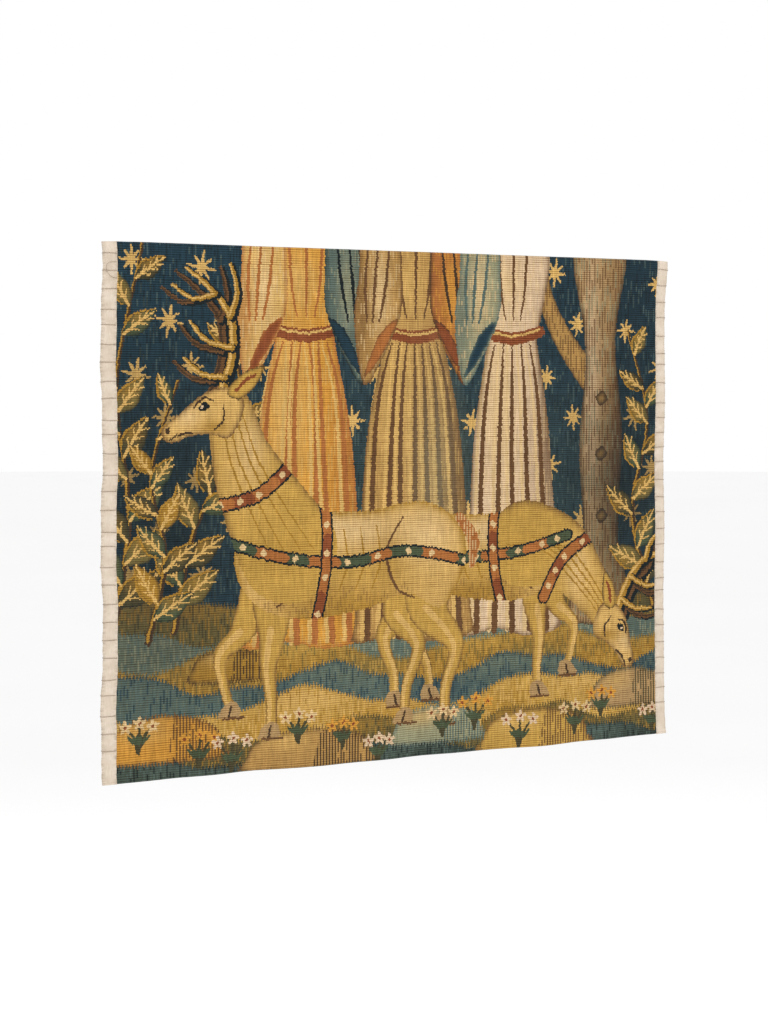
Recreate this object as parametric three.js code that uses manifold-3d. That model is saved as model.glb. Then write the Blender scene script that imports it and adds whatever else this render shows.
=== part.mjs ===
// A lined tapestry wall hanging with its hanging bar, in millimetres, +Z up.
// The picture side faces -Y and the wall side faces +Y. X runs along the top edge.
// The origin is the middle of the rod sleeve's back face, which lies on the wall, so all cloth is at y < 0.
//
// From the front to the wall: the woven picture panel, turned back along its top and bottom, between
// two folded cream edge bands, each oversewn with one thread; the cotton lining; a rod sleeve sewn
// across the lining; and in it a wooden bar, whose bare ends carry two D-ring hangers.
import * as THREE from 'three';
import { mergeVertices } from 'three/addons/utils/BufferGeometryUtils.js';
import Module from 'manifold-3d';

const wasm = await Module();
wasm.setup();

// ---- Driving dimensions ----
const clothWidth = 712; // overall, over both edge bands
const clothHeight = 575;
const leftBandWidth = 15;
const rightBandWidth = 13;
const topAboveOrigin = 43; // the cloth's top edge, above the middle of the sleeve
const gap = 0.3; // left between pieces that touch

const panelThickness = 2.4;
const hemThickness = 1.4; // the cloth turned back along the top and bottom
const hemHeight = 25;
const liningThickness = 0.8;
const liningSideInset = 6; // from the seam beside each edge band
const liningEndInset = 8; // from the top and bottom edges

const threadRadius = 0.35;
const stitchPitch = 20.5;
const stitchCount = 27;
const stitchUnevenness = 2.6;
const threadSides = 4;
const capSteps = 4; // steps of the thread round each edge of a band

const sleeveThickness = 1;
const sleeveLength = 563;
const sleeveFlange = 10;
const sleeveCorner = 4;

const barLength = 659;
const barHeight = 38;
const barThickness = 8;
const barEdgeRadius = 1.5;
const barFrontClearance = 0.5;
const barBelowClearance = 3.3; // slack in the sleeve under the bar

const hangerInset = 24; // from each end of the bar to the middle of its hanger
const ringTopInset = 2; // from the bar's top edge down to the ring
const wireRadius = 1.1;
const ringHalfWidth = 8.6; // to the wire's centreline
const ringCorner = 1.6;
const ringJoint = 0.4; // the butt joint of the bent wire, inside the barrel
const ringSides = 8;
const barrelInnerRadius = 1.4;
const barrelRadius = 2.2;
const plateWidth = 11;
const plateThickness = 1.8; // the folded strap, two layers
const plateTail = 20; // from the barrel's axis
const plateCorner = 3.5;
const screwPlaces = [5.6, 15.5]; // below the barrel's axis
const shankRadius = 1.3;
const headRadius = 2.8;
const headHeight = 1.6;
const slotWidth = 0.7;
const slotDepth = 0.7;
const shankLength = 7.2;
const tipLength = 1.6;
const pilotDepth = 6.2;
const arcSegments = 8;
const roundSegments = 16;
const hangerBackClearance = 0.6; // between the hangers and the sleeve's back

// ---- Places worked out from them ----
const clothTop = topAboveOrigin;
const clothBottom = clothTop - clothHeight;
const seamGap = 2 * (threadRadius + gap);
const barrelAxisHeight = gap + barrelRadius; // above the bar's back face
const tunnelDepth = barFrontClearance + barThickness + barrelAxisHeight + barrelRadius + hangerBackClearance;
const tunnelHeight = gap + barHeight + barBelowClearance;
const tunnelFrontY = -(sleeveThickness + tunnelDepth);
const barFrontY = tunnelFrontY + barFrontClearance;
const barBackY = barFrontY + barThickness;
const barTop = tunnelHeight / 2 - gap;
const liningBackY = tunnelFrontY - gap;
const hemBackY = liningBackY - liningThickness - gap;
const panelBackY = hemBackY - hemThickness - gap;
const frontY = panelBackY - panelThickness;
const bandThickness = hemBackY - frontY;
const pivotY = barBackY + barrelAxisHeight;
const ringReach = ringHalfWidth + ringCorner; // from the barrel's axis to the wire's centreline at its top
const pivotZ = barTop - ringTopInset - ringReach - wireRadius;

const materials = {
  wool: new THREE.MeshStandardMaterial({ color: 0x9c8a4a, roughness: 0.95 }),
  cream: new THREE.MeshStandardMaterial({ color: 0xe0cfb6, roughness: 0.9 }),
  thread: new THREE.MeshStandardMaterial({ color: 0x8a7767, roughness: 0.8 }),
  lining: new THREE.MeshStandardMaterial({ color: 0xd8ccb2, roughness: 0.95 }),
  sleeve: new THREE.MeshStandardMaterial({ color: 0xcdbf9f, roughness: 0.95 }),
  wood: new THREE.MeshStandardMaterial({ color: 0xcfa871, roughness: 0.6 }),
  brass: new THREE.MeshStandardMaterial({ color: 0xb9975a, roughness: 0.35, metalness: 1 }),
  steel: new THREE.MeshStandardMaterial({ color: 0xa9aaa8, roughness: 0.35, metalness: 1 }),
};

const hanging = new THREE.Group();

function addPiece(name, geometry, material, parent = hanging) {
  const mesh = new THREE.Mesh(geometry, material);
  mesh.name = name;
  parent.add(mesh);
  return mesh;
}

// Extrudes an outline drawn in (y, z) along X, centred on x = 0.
function alongX(shape, length) {
  const geometry = new THREE.ExtrudeGeometry(shape, {
    depth: length, bevelEnabled: false, curveSegments: arcSegments,
  });
  geometry.translate(0, 0, -length / 2);
  // (outline x, outline y, depth) become (Y, Z, X).
  geometry.applyMatrix4(new THREE.Matrix4().set(0, 0, 1, 0, 1, 0, 0, 0, 0, 1, 0, 0, 0, 0, 0, 1));
  return geometry;
}

// Extrudes an outline drawn in (x, y) up Z from a given height.
function alongZ(shape, fromZ, length) {
  const geometry = new THREE.ExtrudeGeometry(shape, {
    depth: length, bevelEnabled: false, curveSegments: arcSegments,
  });
  geometry.translate(0, 0, fromZ);
  return geometry;
}

function roundedRectangle(x0, y0, x1, y1, radius) {
  const shape = new THREE.Shape();
  shape.moveTo(x0 + radius, y0);
  shape.lineTo(x1 - radius, y0);
  shape.absarc(x1 - radius, y0 + radius, radius, -Math.PI / 2, 0, false);
  shape.lineTo(x1, y1 - radius);
  shape.absarc(x1 - radius, y1 - radius, radius, 0, Math.PI / 2, false);
  shape.lineTo(x0 + radius, y1);
  shape.absarc(x0 + radius, y1 - radius, radius, Math.PI / 2, Math.PI, false);
  shape.lineTo(x0, y0 + radius);
  shape.absarc(x0 + radius, y0 + radius, radius, Math.PI, 1.5 * Math.PI, false);
  return shape;
}

// A path through given points. A swept section stands square to the path halfway round each bend.
class PointPath extends THREE.Curve {
  constructor(points) {
    super();
    this.points = points;
  }
  getPoint(t, target = new THREE.Vector3()) {
    const along = t * (this.points.length - 1);
    const before = Math.min(Math.floor(along), this.points.length - 2);
    return target.lerpVectors(this.points[before], this.points[before + 1], along - before);
  }
  getPointAt(u, target) {
    return this.getPoint(u, target);
  }
  getTangentAt(u, target = new THREE.Vector3()) {
    const last = this.points.length - 1;
    const at = Math.round(u * last);
    target.set(0, 0, 0);
    for (const from of [at - 1, at]) {
      if (from < 0 || from >= last) continue;
      target.add(this.points[from + 1].clone().sub(this.points[from]).normalize());
    }
    return target.normalize();
  }
}

function sweep(points, radius, sides) {
  const section = new THREE.Shape();
  for (let side = 0; side < sides; side++) {
    const angle = (2 * Math.PI * side) / sides;
    const [x, y] = [radius * Math.cos(angle), radius * Math.sin(angle)];
    if (side === 0) section.moveTo(x, y);
    else section.lineTo(x, y);
  }
  return new THREE.ExtrudeGeometry(section, {
    steps: points.length - 1, extrudePath: new PointPath(points), bevelEnabled: false,
  });
}

function solidOf(geometry) {
  const bare = geometry.clone();
  bare.deleteAttribute('normal');
  bare.deleteAttribute('uv');
  const merged = mergeVertices(bare, 1e-4);
  return new wasm.Manifold(new wasm.Mesh({
    numProp: 3,
    vertProperties: new Float32Array(merged.attributes.position.array),
    triVerts: new Uint32Array(merged.index.array),
  }));
}

function geometryOf(solid) {
  const mesh = solid.getMesh();
  const geometry = new THREE.BufferGeometry();
  geometry.setAttribute('position', new THREE.BufferAttribute(mesh.vertProperties, 3));
  geometry.setIndex(new THREE.BufferAttribute(mesh.triVerts, 1));
  geometry.computeVertexNormals();
  return geometry;
}

// A round cutter lying along Y, from one y to another.
function drill(radius, x, z, fromY, toY) {
  const cutter = new THREE.CylinderGeometry(radius, radius, toY - fromY, roundSegments);
  cutter.translate(x, (fromY + toY) / 2, z);
  return solidOf(cutter);
}

// ---- The cloth ----

const panelLeft = -clothWidth / 2 + leftBandWidth + seamGap;
const panelRight = clothWidth / 2 - rightBandWidth - seamGap;

// The woven picture: one sheet, folded over at the top and bottom into a hem behind itself.
function tapestryPanel() {
  const fold = bandThickness / 2;
  const hemFrontY = hemBackY - hemThickness;
  const [foldTop, foldBottom] = [clothTop - fold, clothBottom + fold];
  const shape = new THREE.Shape();
  shape.moveTo(frontY, foldBottom);
  shape.lineTo(frontY, foldTop);
  shape.absarc(frontY + fold, foldTop, fold, Math.PI, 0, true);
  shape.lineTo(hemBackY, clothTop - hemHeight);
  shape.lineTo(hemFrontY, clothTop - hemHeight);
  shape.lineTo(hemFrontY, foldTop);
  shape.lineTo(panelBackY, foldTop);
  shape.lineTo(panelBackY, foldBottom);
  shape.lineTo(hemFrontY, foldBottom);
  shape.lineTo(hemFrontY, clothBottom + hemHeight);
  shape.lineTo(hemBackY, clothBottom + hemHeight);
  shape.lineTo(hemBackY, foldBottom);
  shape.absarc(frontY + fold, foldBottom, fold, 0, -Math.PI, true);
  const geometry = alongX(shape, panelRight - panelLeft);
  geometry.translate((panelLeft + panelRight) / 2, 0, 0);
  return geometry;
}

// A folded tape along a side edge, as high as the cloth and round at its fold.
function edgeBand(outerX, innerX) {
  const [x0, x1] = outerX < innerX ? [outerX, innerX] : [innerX, outerX];
  return alongZ(roundedRectangle(x0, frontY, x1, hemBackY, bandThickness / 2 - 0.01), clothBottom, clothHeight);
}

// One thread wound round a band from top to bottom: level across the front, slanting down across the back.
function overcastThread(outerX, innerX) {
  const reach = bandThickness / 2 + gap + threadRadius;
  const middleY = (frontY + hemBackY) / 2;
  const towardsSeam = Math.sign(innerX - outerX);
  const outerCentre = outerX + (towardsSeam * bandThickness) / 2;
  const innerCentre = innerX - (towardsSeam * bandThickness) / 2;
  const stitchZ = (stitch) =>
    clothTop - 12 - stitchPitch * stitch + stitchUnevenness * Math.sin(2.4 * stitch);
  const points = [];
  for (let stitch = 0; stitch < stitchCount; stitch++) {
    const z = stitchZ(stitch);
    for (let step = 0; step <= capSteps; step++) {
      const angle = (Math.PI * step) / capSteps;
      points.push(new THREE.Vector3(
        outerCentre - towardsSeam * reach * Math.sin(angle), middleY - reach * Math.cos(angle), z,
      ));
    }
    if (stitch === stitchCount - 1) break;
    for (let step = 0; step <= capSteps; step++) {
      const angle = (Math.PI * step) / capSteps;
      points.push(new THREE.Vector3(
        innerCentre + towardsSeam * reach * Math.sin(angle), middleY + reach * Math.cos(angle), stitchZ(stitch + 1),
      ));
    }
  }
  return sweep(points, threadRadius, threadSides);
}

function lining() {
  const left = -clothWidth / 2 + leftBandWidth + liningSideInset;
  const right = clothWidth / 2 - rightBandWidth - liningSideInset;
  const outline = roundedRectangle(
    liningBackY - liningThickness, clothBottom + liningEndInset, liningBackY, clothTop - liningEndInset,
    liningThickness / 2 - 0.05,
  );
  const geometry = alongX(outline, right - left);
  geometry.translate((left + right) / 2, 0, 0);
  return geometry;
}

// A strip of cotton sewn down along both long edges, standing off between them as a flat tunnel.
function rodSleeve() {
  const half = tunnelHeight / 2;
  const outer = half + sleeveThickness;
  const flangeBackY = tunnelFrontY + sleeveThickness;
  const inside = sleeveCorner - sleeveThickness;
  const shape = new THREE.Shape();
  shape.moveTo(tunnelFrontY, -outer - sleeveFlange);
  shape.lineTo(tunnelFrontY, -half);
  shape.lineTo(-sleeveThickness - inside, -half);
  shape.absarc(-sleeveCorner, -half + inside, inside, -Math.PI / 2, 0, false);
  shape.lineTo(-sleeveThickness, half - inside);
  shape.absarc(-sleeveCorner, half - inside, inside, 0, Math.PI / 2, false);
  shape.lineTo(tunnelFrontY, half);
  shape.lineTo(tunnelFrontY, outer + sleeveFlange);
  shape.lineTo(flangeBackY, outer + sleeveFlange);
  shape.lineTo(flangeBackY, outer);
  shape.lineTo(-sleeveCorner, outer);
  shape.absarc(-sleeveCorner, outer - sleeveCorner, sleeveCorner, Math.PI / 2, 0, true);
  shape.lineTo(0, -outer + sleeveCorner);
  shape.absarc(-sleeveCorner, -outer + sleeveCorner, sleeveCorner, 0, -Math.PI / 2, true);
  shape.lineTo(flangeBackY, -outer);
  shape.lineTo(flangeBackY, -outer - sleeveFlange);
  shape.closePath();
  return alongX(shape, sleeveLength);
}

// ---- The bar and its hangers ----

function hangerX(side) {
  return side * (barLength / 2 - hangerInset);
}

// A wooden slat with eased edges and a pilot hole for each screw.
function hangingBar() {
  let bar = solidOf(alongX(
    roundedRectangle(barFrontY, barTop - barHeight, barBackY, barTop, barEdgeRadius), barLength,
  ));
  for (const side of [-1, 1]) {
    for (const place of screwPlaces) {
      const z = pivotZ - place;
      bar = bar.subtract(drill(shankRadius + gap, hangerX(side), z, barBackY - pilotDepth, barBackY + 1));
    }
  }
  return geometryOf(bar);
}

// A strap folded round the ring's wire and flattened into a plate, in (y, z) from the barrel's axis.
function hangerPlate(side) {
  const strapBack = -barrelRadius + plateThickness;
  const meets = Math.acos(strapBack / barrelRadius);
  const shape = new THREE.Shape();
  shape.moveTo(-barrelRadius, -plateTail);
  shape.lineTo(-barrelRadius, 0);
  shape.absarc(0, 0, barrelRadius, Math.PI, -meets, true);
  shape.lineTo(strapBack, -plateTail);
  shape.closePath();
  const bore = new THREE.Path();
  bore.absarc(0, 0, barrelInnerRadius, 0, 2 * Math.PI, false);
  shape.holes.push(bore);
  let plate = solidOf(alongX(shape, plateWidth));
  const face = roundedRectangle(
    -plateWidth / 2 - 0.01, -plateTail, plateWidth / 2 + 0.01, 2 * plateCorner, plateCorner,
  );
  const trim = new THREE.ExtrudeGeometry(face, {
    depth: 4 * barrelRadius, bevelEnabled: false, curveSegments: arcSegments,
  });
  trim.rotateX(Math.PI / 2);
  trim.translate(0, 2 * barrelRadius, 0);
  plate = plate.intersect(solidOf(trim));
  for (const place of screwPlaces) {
    plate = plate.subtract(drill(shankRadius + gap, 0, -place, -2 * barrelRadius, 2 * barrelRadius));
  }
  const geometry = geometryOf(plate);
  geometry.translate(hangerX(side), pivotY, pivotZ);
  return geometry;
}

// A D of bent wire, standing up from the barrel; its joint is in the middle of the straight side.
function hangerRing(side) {
  const points = [new THREE.Vector3(ringJoint / 2, 0, 0)];
  const cornerCentre = ringHalfWidth - ringCorner;
  const cornerSteps = 4;
  const archSteps = 20;
  points.push(new THREE.Vector3(cornerCentre / 2, 0, 0));
  for (let step = 0; step < cornerSteps; step++) {
    const angle = -Math.PI / 2 + (Math.PI / 2) * (step / cornerSteps);
    points.push(new THREE.Vector3(
      cornerCentre + ringCorner * Math.cos(angle), 0, ringCorner + ringCorner * Math.sin(angle),
    ));
  }
  for (let step = 0; step <= archSteps; step++) {
    const angle = Math.PI * (step / archSteps);
    points.push(new THREE.Vector3(
      ringHalfWidth * Math.cos(angle), 0, ringCorner + ringHalfWidth * Math.sin(angle),
    ));
  }
  for (let step = cornerSteps - 1; step >= 0; step--) {
    const angle = -Math.PI / 2 - (Math.PI / 2) * (step / cornerSteps);
    points.push(new THREE.Vector3(
      -cornerCentre + ringCorner * Math.cos(angle), 0, ringCorner + ringCorner * Math.sin(angle),
    ));
  }
  points.push(new THREE.Vector3(-cornerCentre / 2, 0, 0));
  points.push(new THREE.Vector3(-ringJoint / 2, 0, 0));
  const geometry = sweep(points, wireRadius, ringSides);
  geometry.translate(hangerX(side), pivotY, pivotZ);
  return geometry;
}

// A slotted pan-head wood screw, its point towards -Y.
function hangerScrew(side, place) {
  const headBase = barBackY + gap + plateThickness + gap;
  const profile = new THREE.Path();
  profile.moveTo(0, -shankLength);
  profile.lineTo(shankRadius, -shankLength + tipLength);
  profile.lineTo(shankRadius, 0);
  profile.lineTo(headRadius, 0);
  profile.lineTo(headRadius, headHeight / 2);
  profile.quadraticCurveTo(headRadius, headHeight, headRadius / 2, headHeight);
  profile.lineTo(0, headHeight);
  const lathe = new THREE.LatheGeometry(profile.getPoints(3), roundSegments);
  const slot = new THREE.BoxGeometry(3 * headRadius, 2 * slotDepth, slotWidth);
  slot.translate(0, headHeight, 0);
  const geometry = geometryOf(solidOf(lathe).subtract(solidOf(slot)));
  geometry.rotateY(0.6 * side + place);
  geometry.translate(hangerX(side), headBase, pivotZ - place);
  return geometry;
}

const edges = {
  left: [-clothWidth / 2, -clothWidth / 2 + leftBandWidth],
  right: [clothWidth / 2, clothWidth / 2 - rightBandWidth],
};

addPiece('tapestry_panel', tapestryPanel(), materials.wool);
for (const [name, [outerX, innerX]] of Object.entries(edges)) {
  addPiece(`${name}_edge_band`, edgeBand(outerX, innerX), materials.cream);
  addPiece(`${name}_overcast_thread`, overcastThread(outerX, innerX), materials.thread);
}
addPiece('lining', lining(), materials.lining);
addPiece('rod_sleeve', rodSleeve(), materials.sleeve);
addPiece('hanging_bar', hangingBar(), materials.wood);
for (const [name, side] of [['left', -1], ['right', 1]]) {
  addPiece(`${name}_hanger_plate`, hangerPlate(side), materials.brass);
  addPiece(`${name}_hanger_ring`, hangerRing(side), materials.brass);
  addPiece(`${name}_upper_screw`, hangerScrew(side, screwPlaces[0]), materials.steel);
  addPiece(`${name}_lower_screw`, hangerScrew(side, screwPlaces[1]), materials.steel);
}

export default hanging;
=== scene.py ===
"""A lined tapestry wall hanging on its wooden bar: woven picture, cream edge bands, stitching and hangers.

Lengths are in metres in the object's own frame, +Z up, with the picture side facing -Y. The picture is
laid out in centimetres, x from the cloth's left edge and z from its bottom edge.
"""

import math

import bmesh
import bpy
import numpy as np
from bpy.props import FloatProperty, FloatVectorProperty, PointerProperty
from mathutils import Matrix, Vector


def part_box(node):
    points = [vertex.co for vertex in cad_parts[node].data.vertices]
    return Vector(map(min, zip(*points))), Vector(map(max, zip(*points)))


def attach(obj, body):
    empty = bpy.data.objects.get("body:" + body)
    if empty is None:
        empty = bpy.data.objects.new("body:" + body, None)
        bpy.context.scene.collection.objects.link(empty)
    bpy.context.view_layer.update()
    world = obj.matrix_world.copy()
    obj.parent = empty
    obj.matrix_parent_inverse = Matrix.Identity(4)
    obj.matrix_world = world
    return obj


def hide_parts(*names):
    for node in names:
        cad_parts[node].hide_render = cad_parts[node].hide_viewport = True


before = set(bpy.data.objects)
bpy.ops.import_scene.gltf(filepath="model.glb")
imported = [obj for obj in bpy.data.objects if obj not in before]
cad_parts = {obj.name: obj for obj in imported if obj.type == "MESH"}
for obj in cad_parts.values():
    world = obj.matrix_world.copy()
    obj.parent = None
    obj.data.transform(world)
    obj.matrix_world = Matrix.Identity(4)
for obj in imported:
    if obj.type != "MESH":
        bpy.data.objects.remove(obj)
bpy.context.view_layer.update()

bl_info = {
    "name": "Tapestry Wall Hanging",
    "version": (1, 0, 0),
    "blender": (4, 5, 0),
    "location": "View3D > Sidebar > Hanging",
    "description": "Builds a lined tapestry wall hanging on its hanging bar",
    "category": "Add Mesh",
}

MM = 0.001
CM = 0.01

# ---- Places taken from the frame ----
PANEL_LOW, PANEL_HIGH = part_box("tapestry_panel")
BANDS = {"left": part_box("left_edge_band"), "right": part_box("right_edge_band")}
LINING_LOW, LINING_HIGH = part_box("lining")
SLEEVE_LOW, SLEEVE_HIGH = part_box("rod_sleeve")
BAR_LOW, BAR_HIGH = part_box("hanging_bar")
CLOTH_LEFT, CLOTH_RIGHT = BANDS["left"][0].x, BANDS["right"][1].x
CLOTH_BOTTOM, CLOTH_TOP = PANEL_LOW.z, PANEL_HIGH.z
FRONT, BACK = PANEL_LOW.y, PANEL_HIGH.y

# ---- The weave ----
RIBS = 254  # over the picture and both turned hems
COLUMNS = 186  # each holds four pairs of weft threads
PARTS = 4
HEM = 25 * MM
WEAVE_SEED = 7

WOOLS = {
    "navy": 0x29404C, "ink": 0x22292B, "teal": 0x4A564C, "slate": 0x5D6F68, "pool": 0x6F7967,
    "mist": 0x9C9C7C, "moss": 0x4E4A35, "olive": 0x74683F, "green": 0x4F5A43, "gold": 0xC9A150,
    "honey": 0xDCB46B, "cream": 0xE2C38E, "ochre": 0xAD8437, "amber": 0xD79C42, "tan": 0xB99154,
    "rust": 0xB2713D, "brick": 0x8E5031, "brown": 0x6F5034, "umber": 0x4B3B2D, "sand": 0xB29264,
    "pale": 0xE0C4A0,
}


# ---- Materials ----


class Wire:
    """A number or a socket of a material, so that sums and products of them are written as Python."""

    def __init__(self, finish, value):
        self.finish = finish
        self.value = value

    def maths(self, operation, *others):
        sockets = dict(enumerate((self, *others)))
        return self.finish.node("ShaderNodeMath", {"operation": operation}, sockets)

    def __add__(self, other):
        return self.maths("ADD", other)

    def __mul__(self, other):
        return self.maths("MULTIPLY", other)

    def __sub__(self, other):
        return self.maths("SUBTRACT", other)

    def __rsub__(self, other):
        return (self * -1.0) + other

    def __gt__(self, other):
        return self.maths("GREATER_THAN", other)

    def __pow__(self, other):
        return self.maths("POWER", other)

    __radd__ = __add__
    __rmul__ = __mul__


class Finish:
    """A material and the nodes that make its pattern. Settings that are the same all over go in fixed."""

    def __init__(self, name, **fixed):
        self.material = bpy.data.materials.new(name)
        self.material.use_nodes = True
        self.tree = self.material.node_tree
        self.shader = self.tree.nodes["Principled BSDF"]
        for socket, value in fixed.items():
            self.shader.inputs[socket.replace("_", " ")].default_value = value

    def node(self, kind, settings=None, sockets=None, output=0):
        """Adds a node, sets it up, feeds its sockets and gives back one output."""
        made = self.tree.nodes.new(kind)
        for name, value in (settings or {}).items():
            setattr(made, name, value)
        for name, value in (sockets or {}).items():
            self.feed(made.inputs[name], value)
        return Wire(self, made.outputs[output])

    def feed(self, socket, value):
        if isinstance(value, Wire):
            self.tree.links.new(value.value, socket)
        else:
            socket.default_value = value

    def uv(self):
        """Across and along, from the piece's own map."""
        spot = self.node("ShaderNodeUVMap", {"uv_map": "weave"})
        across = self.node("ShaderNodeSeparateXYZ", {}, {"Vector": spot})
        along = Wire(self, across.value.node.outputs["Y"])
        return across, along

    def place(self, scale):
        """Object coordinates, stretched by a scale along each axis."""
        spot = self.node("ShaderNodeTexCoord", output="Object")
        return self.node("ShaderNodeMapping", {}, {"Vector": spot, "Scale": scale})

    def noise(self, scale, detail=2.0, roughness=0.5):
        """A smooth random number about 0.5, finest along the axis of greatest scale."""
        return self.node("ShaderNodeTexNoise", {}, {
            "Vector": self.place(scale), "Scale": 1.0, "Detail": detail, "Roughness": roughness,
        })

    def between(self, value, low, high, to_low=0.0, to_high=1.0):
        """A value's place between two numbers, held within them."""
        return self.node("ShaderNodeMapRange", {"clamp": True}, {
            0: value, 1: low, 2: high, 3: to_low, 4: to_high,
        })

    def mix(self, share, first, second, blend="MIX"):
        """Two colours mixed by a share of the second."""
        return self.node("ShaderNodeMix", {"data_type": "RGBA", "blend_type": blend},
                         {0: share, 6: first, 7: second}, output=2)

    def grey(self, value):
        """A number as a colour, to multiply another colour by."""
        return self.node("ShaderNodeCombineColor", {}, {0: value, 1: value, 2: value})

    def done(self, colour, roughness, height=None, depth=0.0, metallic=None):
        """Feeds the shader with the finished colour, roughness and height."""
        self.feed(self.shader.inputs["Base Color"], colour)
        self.feed(self.shader.inputs["Roughness"], roughness)
        if metallic is not None:
            self.feed(self.shader.inputs["Metallic"], metallic)
        if height is not None:
            bump = self.node("ShaderNodeBump", {}, {"Height": height, "Strength": 1.0, "Distance": depth})
            self.feed(self.shader.inputs["Normal"], bump)
        return self.material


def linear(colour):
    """The linear red, green and blue of a colour written as 0xRRGGBB."""
    channels = np.array([(colour >> shift & 255) / 255 for shift in (16, 8, 0)])
    return np.where(channels <= 0.04045, channels / 12.92, ((channels + 0.055) / 1.055) ** 2.4)


def paint(colour):
    """The same with full opacity, as a colour socket wants it."""
    return (*linear(colour).tolist(), 1.0)


def tapestry_finish():
    """Dyed wools over hidden ribs: dark uneven lines between the ribs, and streaks along the weft."""
    finish = Finish("tapestry_wool", Sheen_Weight=0.03, Sheen_Roughness=0.6, Specular_IOR_Level=0.05)
    across, along = finish.uv()
    weft = across * float(COLUMNS)
    part = weft.maths("FRACT") * float(PARTS)
    wools = [
        finish.node("ShaderNodeAttribute", {"attribute_name": f"wool_{index}"})
        for index in range(PARTS)
    ]
    colour = wools[0]
    for index in range(1, PARTS):
        colour = finish.mix(part > float(index), colour, wools[index])
    streaks = finish.between(finish.noise((640.0, 1.0, 45.0), 2.0), 0.3, 0.7, 0.86, 1.13)
    abrash = finish.between(finish.noise((14.0, 1.0, 24.0), 4.0), 0.3, 0.7, 0.93, 1.07)
    colour = finish.mix(1.0, colour, finish.grey(streaks * abrash), "MULTIPLY")
    rib = along * float(RIBS)
    off_centre = (rib.maths("FRACT") - 0.5).maths("ABSOLUTE") * 2.0
    groove = finish.between(off_centre, 0.35, 0.85)
    uneven = finish.between(finish.noise((60.0, 1.0, 420.0), 3.0), 0.36, 0.62, 0.6, 1.0)
    wide = finish.between(finish.noise((9.0, 1.0, 160.0), 3.0), 0.38, 0.62, 0.65, 1.0)
    line = groove * uneven * wide
    shadow = finish.mix(1.0, colour, paint(0x8A6434), "MULTIPLY")
    colour = finish.mix(line * 0.86, colour, shadow)
    fuzz = finish.noise((2600.0, 2600.0, 900.0), 3.0)
    bead = (weft * (math.tau * PARTS)).maths("SINE")
    height = fuzz + bead * 0.3 + (1.0 - off_centre * off_centre) * 1.2
    return finish.done(colour, finish.between(fuzz, 0.3, 0.7, 0.86, 0.97), height, 0.12 * MM)


def band_finish(colours):
    """Undyed yarn in the same ribbed weave, with painted shade in the rib grooves, along the outer fold and
    at the front seam.
    """
    finish = Finish("undyed_band", Sheen_Weight=0.2, Sheen_Roughness=0.5, Specular_IOR_Level=0.15)
    across, along = finish.uv()
    tint = finish.between(finish.noise((60.0, 60.0, 90.0), 4.0), 0.3, 0.7)
    colour = finish.mix(tint, colours.band, colours.band_shade)
    slub = finish.between(finish.noise((900.0, 900.0, 160.0), 2.0), 0.35, 0.7, 0.94, 1.04)
    colour = finish.mix(1.0, colour, finish.grey(slub), "MULTIPLY")
    off_centre = (along.maths("FRACT") - 0.5).maths("ABSOLUTE") * 2.0
    uneven = finish.between(finish.noise((90.0, 90.0, 420.0), 3.0), 0.4, 0.65)
    # painted shade in the grooves between the ribs
    colour = finish.mix(finish.between(off_centre, 0.5, 1.0) * uneven * 0.6, colour, paint(0x9A8A78))
    # across is 0 at the front seam, 1 at the outer fold and 2 at the back seam
    # painted shade along the outer fold and at the front seam beside the picture, in patches
    fold = finish.between((across - 0.93).maths("ABSOLUTE"), 0.02, 0.1, 1.0, 0.0)
    seam = finish.between(across, 0.0, 0.09, 1.0, 0.0)
    patchy_shade = finish.between(finish.noise((40.0, 40.0, 130.0), 3.0), 0.35, 0.65, 0.25, 1.0)
    colour = finish.mix((fold * 0.55).maths("MAXIMUM", seam * 0.7) * patchy_shade, colour, paint(0x8F8072))
    fuzz = finish.noise((2400.0, 2400.0, 1200.0), 3.0)
    return finish.done(colour, finish.between(fuzz, 0.3, 0.7, 0.85, 0.96), fuzz, 0.1 * MM)


def thread_finish(colours):
    """Two-ply sewing thread, with painted shade in the grooves of its twist."""
    finish = Finish("overcast_thread", Sheen_Weight=0.15, Specular_IOR_Level=0.2)
    across, along = finish.uv()
    twist = finish.between(((across * 2.0 + along) * math.tau).maths("SINE"), -1.0, 0.4)
    tone = finish.mix(finish.noise((80.0, 80.0, 80.0)), colours.thread, colours.thread_shade)
    # painted shade in the grooves between the plies
    colour = finish.mix(twist, paint(0x8E7C6A), tone)
    return finish.done(colour, finish.between(twist, 0.0, 1.0, 0.92, 0.75), twist, 0.08 * MM)


def cotton_finish(name, light, dark, thread=0.55 * MM):
    """Plain-weave cotton: over-and-under threads, slubs and stains."""
    finish = Finish(name, Sheen_Weight=0.1, Specular_IOR_Level=0.15)
    across, along = finish.uv()
    warp = (across * (math.tau / 2 / thread)).maths("SINE")
    weft = (along * (math.tau / 2 / thread)).maths("SINE")
    weave = finish.between(warp * weft, -1.0, 1.0)
    slub = finish.noise((30.0, 30.0, 1500.0), 2.0).maths("MAXIMUM", finish.noise((1500.0, 30.0, 30.0), 2.0))
    stain = finish.between(finish.noise((11.0, 11.0, 8.0), 5.0, 0.6), 0.35, 0.7)
    colour = finish.mix(stain, light, dark)
    # painted shade where the threads pass under each other, times random tone along the slubs
    shade = weave * 0.16 + finish.between(slub, 0.4, 0.75, 0.8, 0.98)
    colour = finish.mix(1.0, colour, finish.grey(shade), "MULTIPLY")
    return finish.done(colour, finish.between(weave, 0.0, 1.0, 0.95, 0.84), weave + slub * 0.8, 0.14 * MM)


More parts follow.
